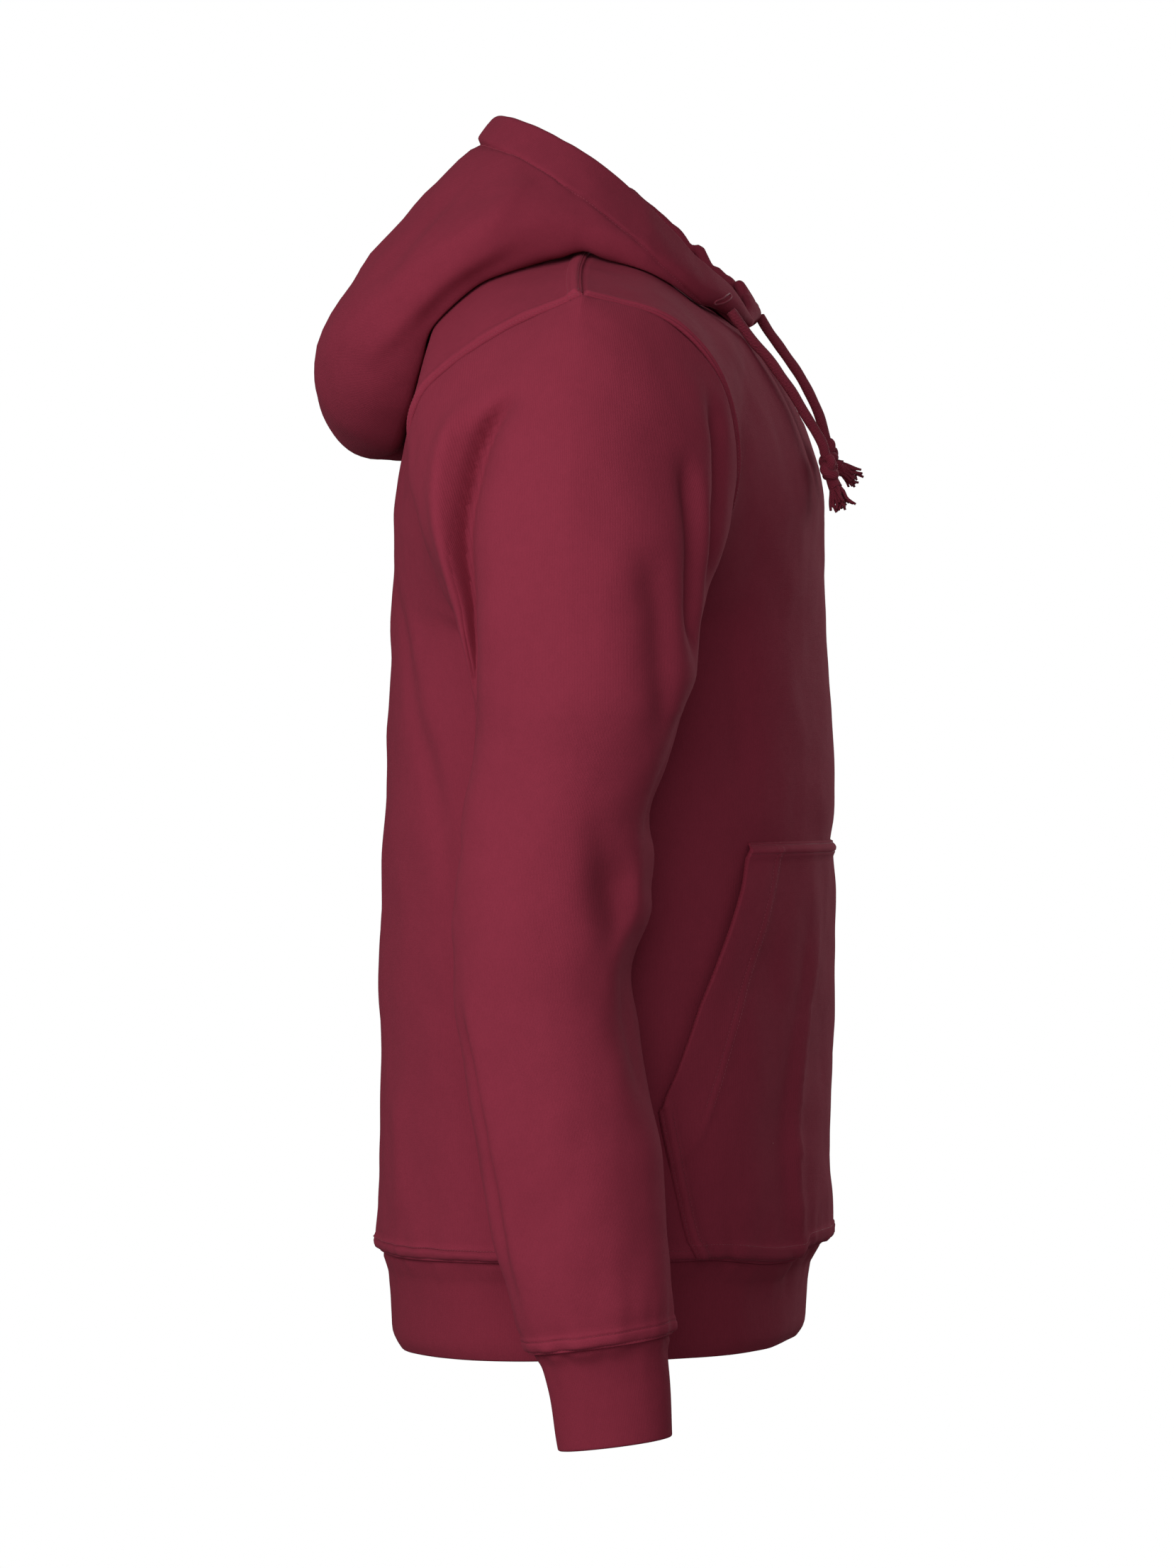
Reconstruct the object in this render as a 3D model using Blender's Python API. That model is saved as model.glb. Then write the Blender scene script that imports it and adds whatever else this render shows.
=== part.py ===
"""Pullover hoodie in its worn shape, hollow, with no wearer.

Metres, +Z up, the front towards -Y and the wearer's left towards +X. The origin is between the high points
of the two shoulder seams, where the wearer's shoulders and neck hold the garment up.

Every piece of cloth starts as a grid of points on its outer face. The pieces meet at shared seam points,
so their walls are mitred there and then drawn back a little to leave a gap.
"""
from itertools import product
from math import cos, pi, radians, sin

import bpy
import numpy as np
from mathutils import Vector
from mathutils.bvhtree import BVHTree

# Cloth
FLEECE = 0.0022           # thickness of the fleece
RIB = 0.0030              # thickness of the doubled rib
SEAM_DRAW_BACK = 0.00024  # each side of a seam is drawn back by this
LAY_GAP = 0.0004          # gap under a piece that lies on another
COLOURS = {"fleece": (0.150, 0.019, 0.034), "rib": (0.130, 0.014, 0.028), "cord": (0.115, 0.012, 0.026)}

# Torso
SHOULDER_POINT = (-0.226, -0.029, -0.040)
NECK_POINT = (-0.090, -0.016, 0.000)
ACROSS = 7                # divisions of half a panel, from its edge to its middle
HEM_ROW, UNDERARM_ROW, SHOULDER_ROW = 0, 12, 22

# One row for each section of a front or back half. The row runs from the side seam or armhole (edge) to the
# centre line or neckline (mid); turn is how far it turns round the body, in degrees; crown is extra fullness.
PANEL_COLUMNS = ("row", "edge_x", "edge_y", "edge_z", "mid_x", "mid_y", "mid_z", "turn", "crown")
FRONT_SECTIONS = (
    (0, -0.1960, -0.0125, -0.6225, 0.000, -0.1498, -0.6245, 90, 0.000),
    (1, -0.2010, -0.0125, -0.6120, 0.000, -0.1523, -0.6140, 90, 0.000),
    (2, -0.2020, -0.0125, -0.5800, 0.000, -0.1493, -0.5800, 90, 0.000),
    (5, -0.2040, -0.0125, -0.4800, 0.000, -0.1493, -0.4800, 90, 0.000),
    (8, -0.2050, -0.0125, -0.3800, 0.000, -0.1528, -0.3800, 90, 0.000),
    (9, -0.2050, -0.0125, -0.3460, 0.000, -0.1563, -0.3400, 90, 0.000),
    (10, -0.2030, -0.0125, -0.3150, 0.000, -0.1548, -0.3050, 90, 0.000),
    (11, -0.1997, -0.0125, -0.2890, 0.000, -0.1532, -0.2700, 90, 0.000),
    (12, -0.1960, -0.0125, -0.2620, 0.000, -0.1518, -0.2350, 90, 0.000),
    (13, -0.1940, -0.0550, -0.2430, 0.000, -0.1508, -0.1950, 80, 0.001),
    (14, -0.1910, -0.0890, -0.2060, 0.000, -0.1483, -0.1550, 68, 0.003),
    (15, -0.1880, -0.1100, -0.1660, 0.000, -0.1320, -0.1000, 58, 0.006),
    (16, -0.1870, -0.1165, -0.1380, 0.000, -0.0980, -0.0470, 50, 0.009),
    (17, -0.1910, -0.1135, -0.1080, -0.030, -0.0920, -0.0410, 45, 0.008),
    (18, -0.1970, -0.1060, -0.0850, -0.054, -0.0770, -0.0300, 40, 0.005),
    (20, -0.2130, -0.0735, -0.0520, -0.081, -0.0460, -0.0100, 30, 0.003),
    (22, *SHOULDER_POINT, *NECK_POINT, 25, 0.000),
)
BACK_SECTIONS = (
    (0, -0.1960, -0.0125, -0.6225, 0.000, 0.1288, -0.6290, 90, 0.000),
    (1, -0.2010, -0.0125, -0.6120, 0.000, 0.1318, -0.6160, 90, 0.000),
    (2, -0.2020, -0.0125, -0.5800, 0.000, 0.1313, -0.5800, 90, 0.000),
    (5, -0.2040, -0.0125, -0.4800, 0.000, 0.1303, -0.4800, 90, 0.000),
    (8, -0.2050, -0.0125, -0.3800, 0.000, 0.1278, -0.3800, 90, 0.000),
    (9, -0.2050, -0.0125, -0.3460, 0.000, 0.1258, -0.3400, 90, 0.000),
    (10, -0.2030, -0.0125, -0.3150, 0.000, 0.1243, -0.3050, 90, 0.000),
    (11, -0.1997, -0.0125, -0.2890, 0.000, 0.1236, -0.2700, 90, 0.000),
    (12, -0.1960, -0.0125, -0.2620, 0.000, 0.1228, -0.2350, 90, 0.000),
    (13, -0.1940, 0.0210, -0.2500, 0.000, 0.1203, -0.2000, 80, 0.000),
    (14, -0.1920, 0.0500, -0.2220, 0.000, 0.1188, -0.1600, 68, 0.000),
    (15, -0.1910, 0.0680, -0.1860, 0.000, 0.1150, -0.1200, 58, -0.003),
    (16, -0.1900, 0.0770, -0.1500, 0.000, 0.1060, -0.0780, 52, -0.005),
    (17, -0.1910, 0.0820, -0.1190, 0.000, 0.0920, -0.0420, 48, -0.004),
    (18, -0.1950, 0.0760, -0.0990, 0.000, 0.0750, -0.0120, 45, 0.000),
    (20, -0.2130, 0.0235, -0.0610, -0.064, 0.0460, -0.0050, 35, 0.001),
    (22, *SHOULDER_POINT, *NECK_POINT, 25, 0.000),
)
NECK_STRAIGHTNESS = 0.7   # how straight the shoulder falls from the neck to the armhole

# Sleeve: the rows of the cap are swept from the armhole to the first of these rings
RING_COLUMNS = ("row", "x", "y", "z", "half_x", "half_y", "tilt")
SLEEVE_RINGS = (
    (5, -0.264, -0.0340, -0.290, 0.0560, 0.0645, 0),
    (6, -0.264, -0.0290, -0.318, 0.0540, 0.0595, -3),
    (7, -0.264, -0.0210, -0.348, 0.0530, 0.0565, -3),
    (8, -0.265, -0.0187, -0.385, 0.0525, 0.0585, 0),
    (9, -0.265, -0.0168, -0.416, 0.0515, 0.0575, 0),
    (10, -0.266, -0.0128, -0.450, 0.0500, 0.0525, 3),
    (12, -0.267, -0.0220, -0.512, 0.0470, 0.0540, 7),
    (14, -0.268, -0.0325, -0.590, 0.0435, 0.0505, 8),
    (15, -0.268, -0.0385, -0.628, 0.0410, 0.0470, 8),
    (16, -0.268, -0.0455, -0.664, 0.0345, 0.0405, 8),
)
CAP_ROWS = 5
SLEEVE_ROWS = 16
CAP_DROP = (28.0, 75.0)   # how steeply the sleeve leaves the armhole, in degrees, at its top and underarm
CUFF_RINGS = (
    (0, -0.268, -0.0455, -0.6640, 0.0345, 0.0405, 8),
    (1, -0.268, -0.0475, -0.6740, 0.0290, 0.0370, 8),
    (2, -0.268, -0.0500, -0.6880, 0.0268, 0.0358, 8),
    (3, -0.268, -0.0545, -0.7230, 0.0248, 0.0335, 8),
)

# Hem band: how far each ring lies inside the hem seam, and how far down the band it is
HEM_HEIGHT = 0.0610
HEM_BACK_SHARE = 0.5      # how much of that inset the middle of the back has
HEM_COLUMNS = ("down", "inset")
HEM_RINGS = ((0.00, 0.0000), (0.22, 0.0080), (0.45, 0.0100), (1.00, 0.0120))

# Pocket, as places on the front panel: row of the panel and turn round the body, in degrees
POCKET_TOP, POCKET_CORNER, POCKET_FOOT = 8.30, 3.45, 0.55
POCKET_TOP_TURN, POCKET_CORNER_TURN, POCKET_FOOT_TURN = 41.5, 66.0, 57.0
POCKET_ROWS = (8.30, 7.70, 7.00, 6.00, 5.00, 4.20, 3.45, 2.70, 2.00, 1.00, 0.55)
POCKET_ACROSS = 12
POCKET_CLEARANCE = 0.0012
POCKET_FULLNESS = 0.0022  # how far the hand pocket stands off the front

# Hood: one row for each station from the centre front round the neck to the centre back. It leaves the neck
# seam (neck), lies on the body up to where it turns over (fold), swells out to its fullest point (swell) and
# comes up to its edge (rim). tuck is how far the lower layer runs in flat under the fold.
HOOD_LOWER_COLUMNS = ("station", "neck_x", "neck_y", "neck_z", "fold_x", "fold_y", "fold_z", "tuck")
HOOD_LOWER = (
    (0, 0.000, -0.0990, -0.0450, 0.000, -0.1040, -0.0410, 0.002),
    (1, -0.032, -0.0925, -0.0385, -0.038, -0.0975, -0.0370, 0.003),
    (2, -0.060, -0.0750, -0.0250, -0.078, -0.0810, -0.0330, 0.006),
    (3, -0.080, -0.0480, -0.0080, -0.112, -0.0490, -0.0160, 0.010),
    (4, -0.090, -0.0160, 0.0030, -0.131, -0.0049, -0.0026, 0.014),
    (5, -0.084, 0.0140, 0.0030, -0.140, 0.0400, -0.0170, 0.016),
    (6, -0.072, 0.0380, 0.0005, -0.136, 0.0740, -0.0520, 0.020),
    (7, -0.054, 0.0580, -0.0030, -0.110, 0.0940, -0.0900, 0.026),
    (8, -0.028, 0.0710, -0.0070, -0.060, 0.1150, -0.1180, 0.032),
    (9, 0.000, 0.0760, -0.0090, 0.000, 0.1396, -0.1223, 0.034),
)
HOOD_UPPER_COLUMNS = ("station", "swell_x", "swell_y", "swell_z", "rim_x", "rim_y", "rim_z")
HOOD_UPPER = (
    (0, 0.000, -0.1065, -0.0380, 0.000, -0.1030, -0.0320),
    (1, -0.041, -0.1020, -0.0310, -0.034, -0.0950, -0.0170),
    (2, -0.084, -0.0860, -0.0230, -0.068, -0.0760, 0.0010),
    (3, -0.121, -0.0520, -0.0020, -0.090, -0.0455, 0.0344),
    (4, -0.142, -0.0040, 0.0130, -0.093, -0.0180, 0.0580),
    (5, -0.153, 0.0470, 0.0050, -0.084, 0.0060, 0.0730),
    (6, -0.150, 0.0920, -0.0240, -0.068, 0.0290, 0.0850),
    (7, -0.126, 0.1320, -0.0500, -0.042, 0.0470, 0.0925),
    (8, -0.074, 0.1640, -0.0640, -0.018, 0.0550, 0.0965),
    (9, 0.000, 0.1775, -0.0680, 0.000, 0.0568, 0.0980),
)
HOOD_AROUND = 16          # divisions from centre front to centre back
HOOD_UNDER, HOOD_TURN, HOOD_OVER = 4, 4, 6   # divisions under the fold, round it, and up to the rim
ROUNDNESS = 0.55          # how far the handles of a round turn reach
HOOD_RISE, HOOD_REACH = 0.23, 0.24   # the same for the wall, at the swell and at the rim
HOOD_CLEARANCES = (0.0010, 0.0024, 0.0030)   # gap to the body at the neck seam, next to it and beyond
CLEARING_ROUNDS = 6
SAMPLE_ENDS = (((0, 0),), ((0, 0), (0, 1)), ((0, 0), (1, 0)), ((0, 0), (1, 1)), ((0, 1), (1, 0)))
HOOD_CENTRE_Y = -0.010    # the hood opens round a vertical line at this y

# Draw cord
CORD_DIAMETER = 0.0065
CORD_STEP = 2.2           # diameters between the points of a cord
RIGHT_CORD = (
    (-0.0610, -0.0990, -0.0360), (-0.0580, -0.1065, -0.0465), (-0.0550, -0.1130, -0.0555),
    (-0.0520, -0.1215, -0.0650), (-0.0490, -0.1295, -0.0765), (-0.0460, -0.1370, -0.0875),
    (-0.0425, -0.1440, -0.1000), (-0.0390, -0.1500, -0.1100), (-0.0365, -0.1545, -0.1185),
    (-0.0350, -0.1565, -0.1265),
)
LEFT_CORD = (
    (0.0500, -0.1055, -0.0305), (0.0470, -0.1110, -0.0395), (0.0430, -0.1180, -0.0490),
    (0.0390, -0.1245, -0.0580), (0.0350, -0.1310, -0.0670), (0.0315, -0.1365, -0.0760),
    (0.0290, -0.1415, -0.0855), (0.0270, -0.1460, -0.0955), (0.0255, -0.1490, -0.1050),
    (0.0245, -0.1510, -0.1130),
)
# Knot: distance beyond the cord's end and radius, with the frayed tail last
KNOT_PROFILE = ((0.0004, 0.0034), (0.0030, 0.0068), (0.0080, 0.0085), (0.0130, 0.0072), (0.0165, 0.0044),
                (0.0230, 0.0042), (0.0300, 0.0058), (0.0330, 0.0042))
KNOT_BEND = (0.006, 0.018)   # the tail turns from the cord's way to its own between these distances
RIGHT_TAIL = (-0.02, -0.35, -0.94)
LEFT_TAIL = (-0.05, -0.80, -0.60)
KNOT_SIDES = 12


def empty_scene():
    for thing in list(bpy.data.objects):
        bpy.data.objects.remove(thing, do_unlink=True)


def finish(kind):
    """The plain material of one kind of piece."""
    material = bpy.data.materials.get(kind) or bpy.data.materials.new(kind)
    material.use_nodes = True
    shader = material.node_tree.nodes["Principled BSDF"]
    shader.inputs["Base Color"].default_value = (*COLOURS[kind], 1.0)
    shader.inputs["Roughness"].default_value = 0.9
    return material


def read_table(table, at):
    """Values of a table's columns at any place, by a smooth curve that never overshoots its rows."""
    rows = np.array(table, float)
    places, values = rows[:, 0], rows[:, 1:]
    steps = np.diff(places)[:, None]
    slopes = np.diff(values, axis=0) / steps
    tangents = np.zeros_like(values)
    same_way = slopes[:-1] * slopes[1:] > 0
    total = np.where(same_way, slopes[:-1] + slopes[1:], 1.0)
    tangents[1:-1] = np.where(same_way, 2 * slopes[:-1] * slopes[1:] / total, 0.0)
    tangents[0], tangents[-1] = slopes[0], slopes[-1]
    k = int(np.clip(np.searchsorted(places, at) - 1, 0, len(places) - 2))
    s = (at - places[k]) / steps[k, 0]
    lift = s * s * (3 - 2 * s)
    return (values[k] * (1 - lift) + values[k + 1] * lift
            + steps[k, 0] * (tangents[k] * s * (1 - s) ** 2 - tangents[k + 1] * s * s * (1 - s)))


def bezier(a, b, c, d, s):
    return a * (1 - s) ** 3 + 3 * b * s * (1 - s) ** 2 + 3 * c * s * s * (1 - s) + d * s ** 3


# ---- Torso -------------------------------------------------------------------------------------------------

def panel_point(sections, at, turned):
    """A point of the right half of a panel: at is its row, turned is 0 at the edge and 1 at the middle."""
    ex, ey, ez, mx, my, mz, turn, crown = read_table(sections, at)
    turn = radians(turn)
    angle = turn * (1 - turned)
    across = sin(angle) / sin(turn)
    rounded = (cos(angle) - cos(turn)) / (1 - cos(turn))
    straight = NECK_STRAIGHTNESS * mx / NECK_POINT[0]
    fall = rounded + (1 - across - rounded) * straight
    out = 1 if sections is BACK_SECTIONS else -1
    return np.array((mx + (ex - mx) * across,
                     ey + (my - ey) * rounded + out * crown * sin(pi * turned),
                     ez + (mz - ez) * fall))


def panel_grid(sections):
    return np.array([[panel_point(sections, row, i / ACROSS) for i in range(ACROSS + 1)]
                     for row in range(SHOULDER_ROW + 1)])


def mirrored(grid):
    return grid * np.array((-1.0, 1.0, 1.0))


# ---- Sleeves, cuffs and hem band ---------------------------------------------------------------------------

def ring_point(values, angle):
    """A point of an oval ring; angle 0 is its outer side, a quarter turn on is its front."""
    x, y, z, half_x, half_y, tilt = values
    forward = -half_y * sin(angle)
    lean = radians(tilt)
    return np.array((x - half_x * cos(angle), y + forward * cos(lean), z - forward * sin(lean)))


def armhole(front, back):
    """The right armhole's seam points from the shoulder, down the front and up the back."""
    down_front = [front[row][0] for row in range(SHOULDER_ROW, UNDERARM_ROW - 1, -1)]
    up_back = [back[row][0] for row in range(UNDERARM_ROW + 1, SHOULDER_ROW)]
    return np.array(down_front + up_back)


def sleeve_grid(loop):
    around = len(loop)
    first_ring = read_table(SLEEVE_RINGS, CAP_ROWS)
    rows = []
    for row in range(CAP_ROWS):
        s = row / CAP_ROWS
        line = []
        for k, start in enumerate(loop):
            angle = 2 * pi * k / around
            end = ring_point(first_ring, angle)
            reach = np.linalg.norm(end - start)
            drop = radians(CAP_DROP[0] + (CAP_DROP[1] - CAP_DROP[0]) * (1 - cos(angle)) / 2)
            leaving = np.array((-cos(drop), 0.0, -sin(drop))) * reach / 3
            arriving = np.array((0.0, 0.0, -1.0)) * reach / 3
            line.append(bezier(start, start + leaving, end - arriving, end, s))
        rows.append(line)
    for row in range(CAP_ROWS, SLEEVE_ROWS + 1):
        values = read_table(SLEEVE_RINGS, row)
        rows.append([ring_point(values, 2 * pi * k / around) for k in range(around)])
    return np.array(rows)


def cuff_grid(around):
    angles = [2 * pi * k / around for k in range(around)]
    return np.array([[ring_point(values[1:], angle) for angle in angles] for values in CUFF_RINGS])


def hem_grid(front, back):
    """Rings under the panels' lower edges, all round from the right side seam."""
    half = list(front[HEM_ROW]) + list(mirrored(front)[HEM_ROW][-2::-1])
    rear = list(mirrored(back)[HEM_ROW][1:]) + list(back[HEM_ROW][-2:0:-1])
    seam = np.array(half + rear)
    centre = seam.mean(axis=0)
    rows = []
    for down, inset in HEM_RINGS:
        outward = seam - centre
        outward[:, 2] = 0
        outward /= np.linalg.norm(outward, axis=1)[:, None]
        share = 1 - (1 - HEM_BACK_SHARE) * (1 + outward[:, 1:2]) / 2
        rows.append(seam - outward * inset * share - np.array((0, 0, down * HEM_HEIGHT)))
    return np.array(rows)


# ---- Pocket ------------------------------------------------------------------------------------------------

def pocket_grid():
    """Points of the front panel inside the pocket's outline, moved out."""
    rows = []
    corner = (POCKET_TOP - POCKET_CORNER) / (POCKET_TOP - POCKET_FOOT)
    for at in POCKET_ROWS:
        down = (POCKET_TOP - at) / (POCKET_TOP - POCKET_FOOT)
        if down < corner:
            reach = POCKET_TOP_TURN + (POCKET_CORNER_TURN - POCKET_TOP_TURN) * down / corner
        else:
            below = (down - corner) / (1 - corner)
            reach = POCKET_CORNER_TURN + (POCKET_FOOT_TURN - POCKET_CORNER_TURN) * below
        line = []
        for i in range(POCKET_ACROSS + 1):
            side = 2 * i / POCKET_ACROSS - 1
            turned = 1 - abs(side) * reach / 90
            point = panel_point(FRONT_SECTIONS, at, turned)
            near, far = (panel_point(FRONT_SECTIONS, at, turned + step) for step in (-0.01, 0.01))
            above, below = (panel_point(FRONT_SECTIONS, at + step, turned) for step in (0.1, -0.1))
            normal = np.cross(above - below, near - far)
            normal /= np.linalg.norm(normal)
            shut = 1 - abs(side) ** 4 if down > corner else 1.0
            stand_off = POCKET_FULLNESS * min(1, 3.2 * sin(pi * down) ** 1.2) * shut
            point = point + normal * (LAY_GAP + FLEECE + stand_off)
            point[0] *= -1 if side > 0 else 1
            line.append(point)
        rows.append(line)
    return np.array(rows)


# ---- Hood --------------------------------------------------------------------------------------------------

def hood_profile(station):
    """The hood's section at a station: neck seam, under layer, fold, swell and rim."""
    lower, upper = read_table(HOOD_LOWER, station), read_table(HOOD_UPPER, station)
    neck, fold, tuck, swell, rim = lower[0:3], lower[3:6], lower[6], upper[0:3], upper[3:6]
    outward = np.array((fold[0], fold[1] - HOOD_CENTRE_Y, 0.0))
    outward /= np.linalg.norm(outward)
    up = np.array((0.0, 0.0, 1.0))
    start = neck + (fold - neck) * 0.35 + up * 0.004
    rise = swell[2] - fold[2]
    leaving = fold + (swell - fold - up * rise) * ROUNDNESS
    climbing = swell + up * (rim[2] - swell[2]) * HOOD_RISE
    arriving = rim + (swell - rim) * HOOD_REACH
    under = [bezier(neck, start, fold - outward * tuck, fold, k / HOOD_UNDER) for k in range(HOOD_UNDER)]
    rising = swell - up * rise * ROUNDNESS
    turn = [bezier(fold, leaving, rising, swell, k / HOOD_TURN) for k in range(HOOD_TURN)]
    over = [bezier(swell, climbing, arriving, rim, k / HOOD_OVER) for k in range(HOOD_OVER + 1)]
    return np.array(under + turn + over)


def kept_clear(grid, cover, clearances):
    """The grid moved out until its points, edges and both diagonals of its quads clear the cloth below."""
    moved = grid.copy()
    rows, columns = grid.shape[:2]
    for _ in range(CLEARING_ROUNDS):
        lifts, shortfalls = np.zeros_like(moved), np.zeros((rows, columns))
        for (j, i), ends in product(np.ndindex(rows, columns), SAMPLE_ENDS):
            corners = [(min(j + down, rows - 1), min(i + along, columns - 1)) for down, along in ends]
            point = Vector(np.mean([moved[corner] for corner in corners], axis=0))
            place, normal, _, distance = cover.find_nearest(point)
            shortfall = clearances[min(j, len(clearances) - 1)] - (point - place).dot(normal)
            for corner in corners:
                if distance < 0.03 and shortfall > shortfalls[corner]:
                    shortfalls[corner] = shortfall
                    lifts[corner] = np.array(normal) * shortfall
        moved += lifts
    return moved


def hood_grid(cover):
    last = len(HOOD_LOWER) - 1
    columns = [hood_profile(last * k / HOOD_AROUND) for k in range(HOOD_AROUND + 1)]
    grid = np.array(columns).transpose(1, 0, 2)
    return kept_clear(grid, cover, HOOD_CLEARANCES)


# ---- Walls -------------------------------------------------------------------------------------------------

class Cloth:
    """One piece of cloth: the points of its outer face and the quads between them, facing out."""

    def __init__(self, name, kind, thickness):
        self.name, self.kind, self.thickness = name, kind, thickness
        self.points, self.quads, self.found = [], [], {}

    def point(self, place):
        key = tuple(int(round(value * 1e6)) for value in place)
        if key not in self.found:
            self.found[key] = len(self.points)
            self.points.append(np.array(place, float))
        return self.found[key]

    def add_grid(self, grid, flip, around=False):
        rows, columns = grid.shape[:2]
        for j in range(rows - 1):
            for i in range(columns if around else columns - 1):
                after = (i + 1) % columns
                quad = [self.point(grid[j][i]), self.point(grid[j][after]),
                        self.point(grid[j + 1][after]), self.point(grid[j + 1][i])]
                self.quads.append(quad[::-1] if flip else quad)
        return self

    def normals(self):
        """For each point, its quads' normals weighted by their angles there, and the sum of those angles."""
        total, angles = np.zeros((len(self.points), 3)), np.zeros(len(self.points))
        for quad in self.quads:
            a, b, c, d = corners = [self.points[k] for k in quad]
            normal = np.cross(c - a, d - b)
            normal /= np.linalg.norm(normal)
            for i, k in enumerate(quad):
                ahead, behind = corners[(i + 1) % 4] - corners[i], corners[i - 1] - corners[i]
                angle = Vector(ahead).angle(Vector(behind))
                total[k] += normal * angle
                angles[k] += angle
        return total, angles

    def inward(self):
        """For each point, the direction from it into its own piece."""
        total = np.zeros((len(self.points), 3))
        for quad in self.quads:
            centre = np.mean([self.points[k] for k in quad], axis=0)
            for k in quad:
                step = centre - self.points[k]
                total[k] += step / np.linalg.norm(step)
        return total / np.maximum(np.linalg.norm(total, axis=1), 1e-9)[:, None]

    def edges(self):
        """The edges with one face only, in that face's order."""
        sides = set()
        for quad in self.quads:
            for a, b in zip(quad, quad[1:] + quad[:1]):
                if (b, a) in sides:
                    sides.discard((b, a))
                else:
                    sides.add((a, b))
        return sides


def make_walls(cloths):
    """Give each piece its wall, mitred and drawn back where pieces share seam points."""
    shared = {}
    for cloth in cloths:
        normals, angles = cloth.normals()
        inward = cloth.inward()
        for key, k in cloth.found.items():
            shared.setdefault(key, []).append((normals[k], inward[k] * angles[k], angles[k]))
    for cloth in cloths:
        outer, inward, normals = list(cloth.points), cloth.inward(), cloth.normals()[0]
        normals /= np.linalg.norm(normals, axis=1)[:, None]
        for key, k in cloth.found.items():
            if len(shared[key]) > 1:
                mitre, middle, angle = (sum(entry[part] for entry in shared[key]) for part in range(3))
                mitre = mitre / np.linalg.norm(mitre)
                away = inward[k] - middle / angle
                away -= mitre * away.dot(mitre)
                normals[k] = mitre / max(0.75, mitre.dot(normals[k]))
                outer[k] = outer[k] + away / np.linalg.norm(away) * SEAM_DRAW_BACK
        inner = [outer[k] - normals[k] * cloth.thickness for k in range(len(outer))]
        count = len(outer)
        faces = [tuple(quad) for quad in cloth.quads]
        faces += [tuple(k + count for k in reversed(quad)) for quad in cloth.quads]
        keys = list(cloth.found)
        for a, b in cloth.edges():
            if keys[a] < keys[b]:
                faces += [(b, a, a + count), (b, a + count, b + count)]
            else:
                faces += [(b, a, b + count), (a, a + count, b + count)]
        add_mesh(cloth.name, [tuple(p) for p in outer + inner], faces, cloth.kind)


def add_mesh(name, points, faces, kind):
    mesh = bpy.data.meshes.new(name)
    mesh.from_pydata(points, [], faces)
    mesh.shade_smooth()
    mesh.set_sharp_from_angle(angle=radians(50))
    mesh.materials.append(finish(kind))
    piece = bpy.data.objects.new(name, mesh)
    bpy.context.scene.collection.objects.link(piece)
    return piece


# ---- Draw cord ---------------------------------------------------------------------------------------------

def smooth_route(route, step):
    """Points a step apart on a smooth curve through the route's own points."""
    points = np.array(route)
    table = np.column_stack((np.arange(len(points)), points))
    fine = np.array([catmull(table[:, 1:], at) for at in np.linspace(0, len(points) - 1, 40 * len(points))])
    lengths = np.concatenate(([0], np.cumsum(np.linalg.norm(np.diff(fine, axis=0), axis=1))))
    count = max(2, round(lengths[-1] / step))
    marks = np.linspace(0, lengths[-1], count + 1)
    return np.column_stack([np.interp(marks, lengths, fine[:, axis]) for axis in range(3)])


def catmull(points, at):
    k = min(int(at), len(points) - 2)
    s = at - k
    a, b, c, d = (points[min(max(k + shift, 0), len(points) - 1)] for shift in (-1, 0, 1, 2))
    square, cube = 2 * a - 5 * b + 4 * c - d, 3 * b - a - 3 * c + d
    return 0.5 * (2 * b + (c - a) * s + square * s * s + cube * s ** 3)


def add_cord(name, route):
    curve = bpy.data.curves.new(name, "CURVE")
    curve.dimensions = "3D"
    curve.bevel_depth = CORD_DIAMETER / 2
    curve.bevel_resolution = 2
    curve.use_fill_caps = True
    points = smooth_route(route, CORD_STEP * CORD_DIAMETER)
    spline = curve.splines.new("POLY")
    spline.points.add(len(points) - 1)
    for slot, place in zip(spline.points, points):
        slot.co = (*place, 1.0)
    curve.materials.append(finish("cord"))
    cord = bpy.data.objects.new(name, curve)
    bpy.context.scene.collection.objects.link(cord)


def add_knot(name, route, tail):
    """A round knot on the end of a cord, with its frayed tail bent its own way."""
    end, before = Vector(route[-1]), Vector(route[-2])
    along_cord, along_tail = (end - before).normalized(), Vector(tail).normalized()
    side = along_cord.cross(along_tail).normalized()
    points, place, reached = [], end, 0.0
    for along, radius in KNOT_PROFILE:
        turned = min(1.0, max(0.0, (along - KNOT_BEND[0]) / (KNOT_BEND[1] - KNOT_BEND[0])))
        way = along_cord.lerp(along_tail, turned).normalized()
        place = place + way * (along - reached)
        reached = along
        other = way.cross(side)
        for k in range(KNOT_SIDES):
            angle = 2 * pi * k / KNOT_SIDES
            points.append(tuple(place + (side * cos(angle) + other * sin(angle)) * radius))
    last = (len(KNOT_PROFILE) - 1) * KNOT_SIDES
    faces = [tuple(range(KNOT_SIDES))[::-1], tuple(range(last, last + KNOT_SIDES))]
    for ring in range(len(KNOT_PROFILE) - 1):
        for k in range(KNOT_SIDES):
            a, b = ring * KNOT_SIDES + k, ring * KNOT_SIDES + (k + 1) % KNOT_SIDES
            faces.append((a, b, b + KNOT_SIDES, a + KNOT_SIDES))
    add_mesh(name, points, faces, "cord")


def cover_tree(cloths):
    """The outer faces that another piece lies on, split both ways across each quad."""
    points, triangles = [], []
    for cloth in cloths:
        for a, b, c, d in (tuple(k + len(points) for k in quad) for quad in cloth.quads):
            triangles += [(a, b, c), (a, c, d), (b, c, d), (b, d, a)]
        points += [Vector(place) for place in cloth.points]
    return BVHTree.FromPolygons(points, triangles)


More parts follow.
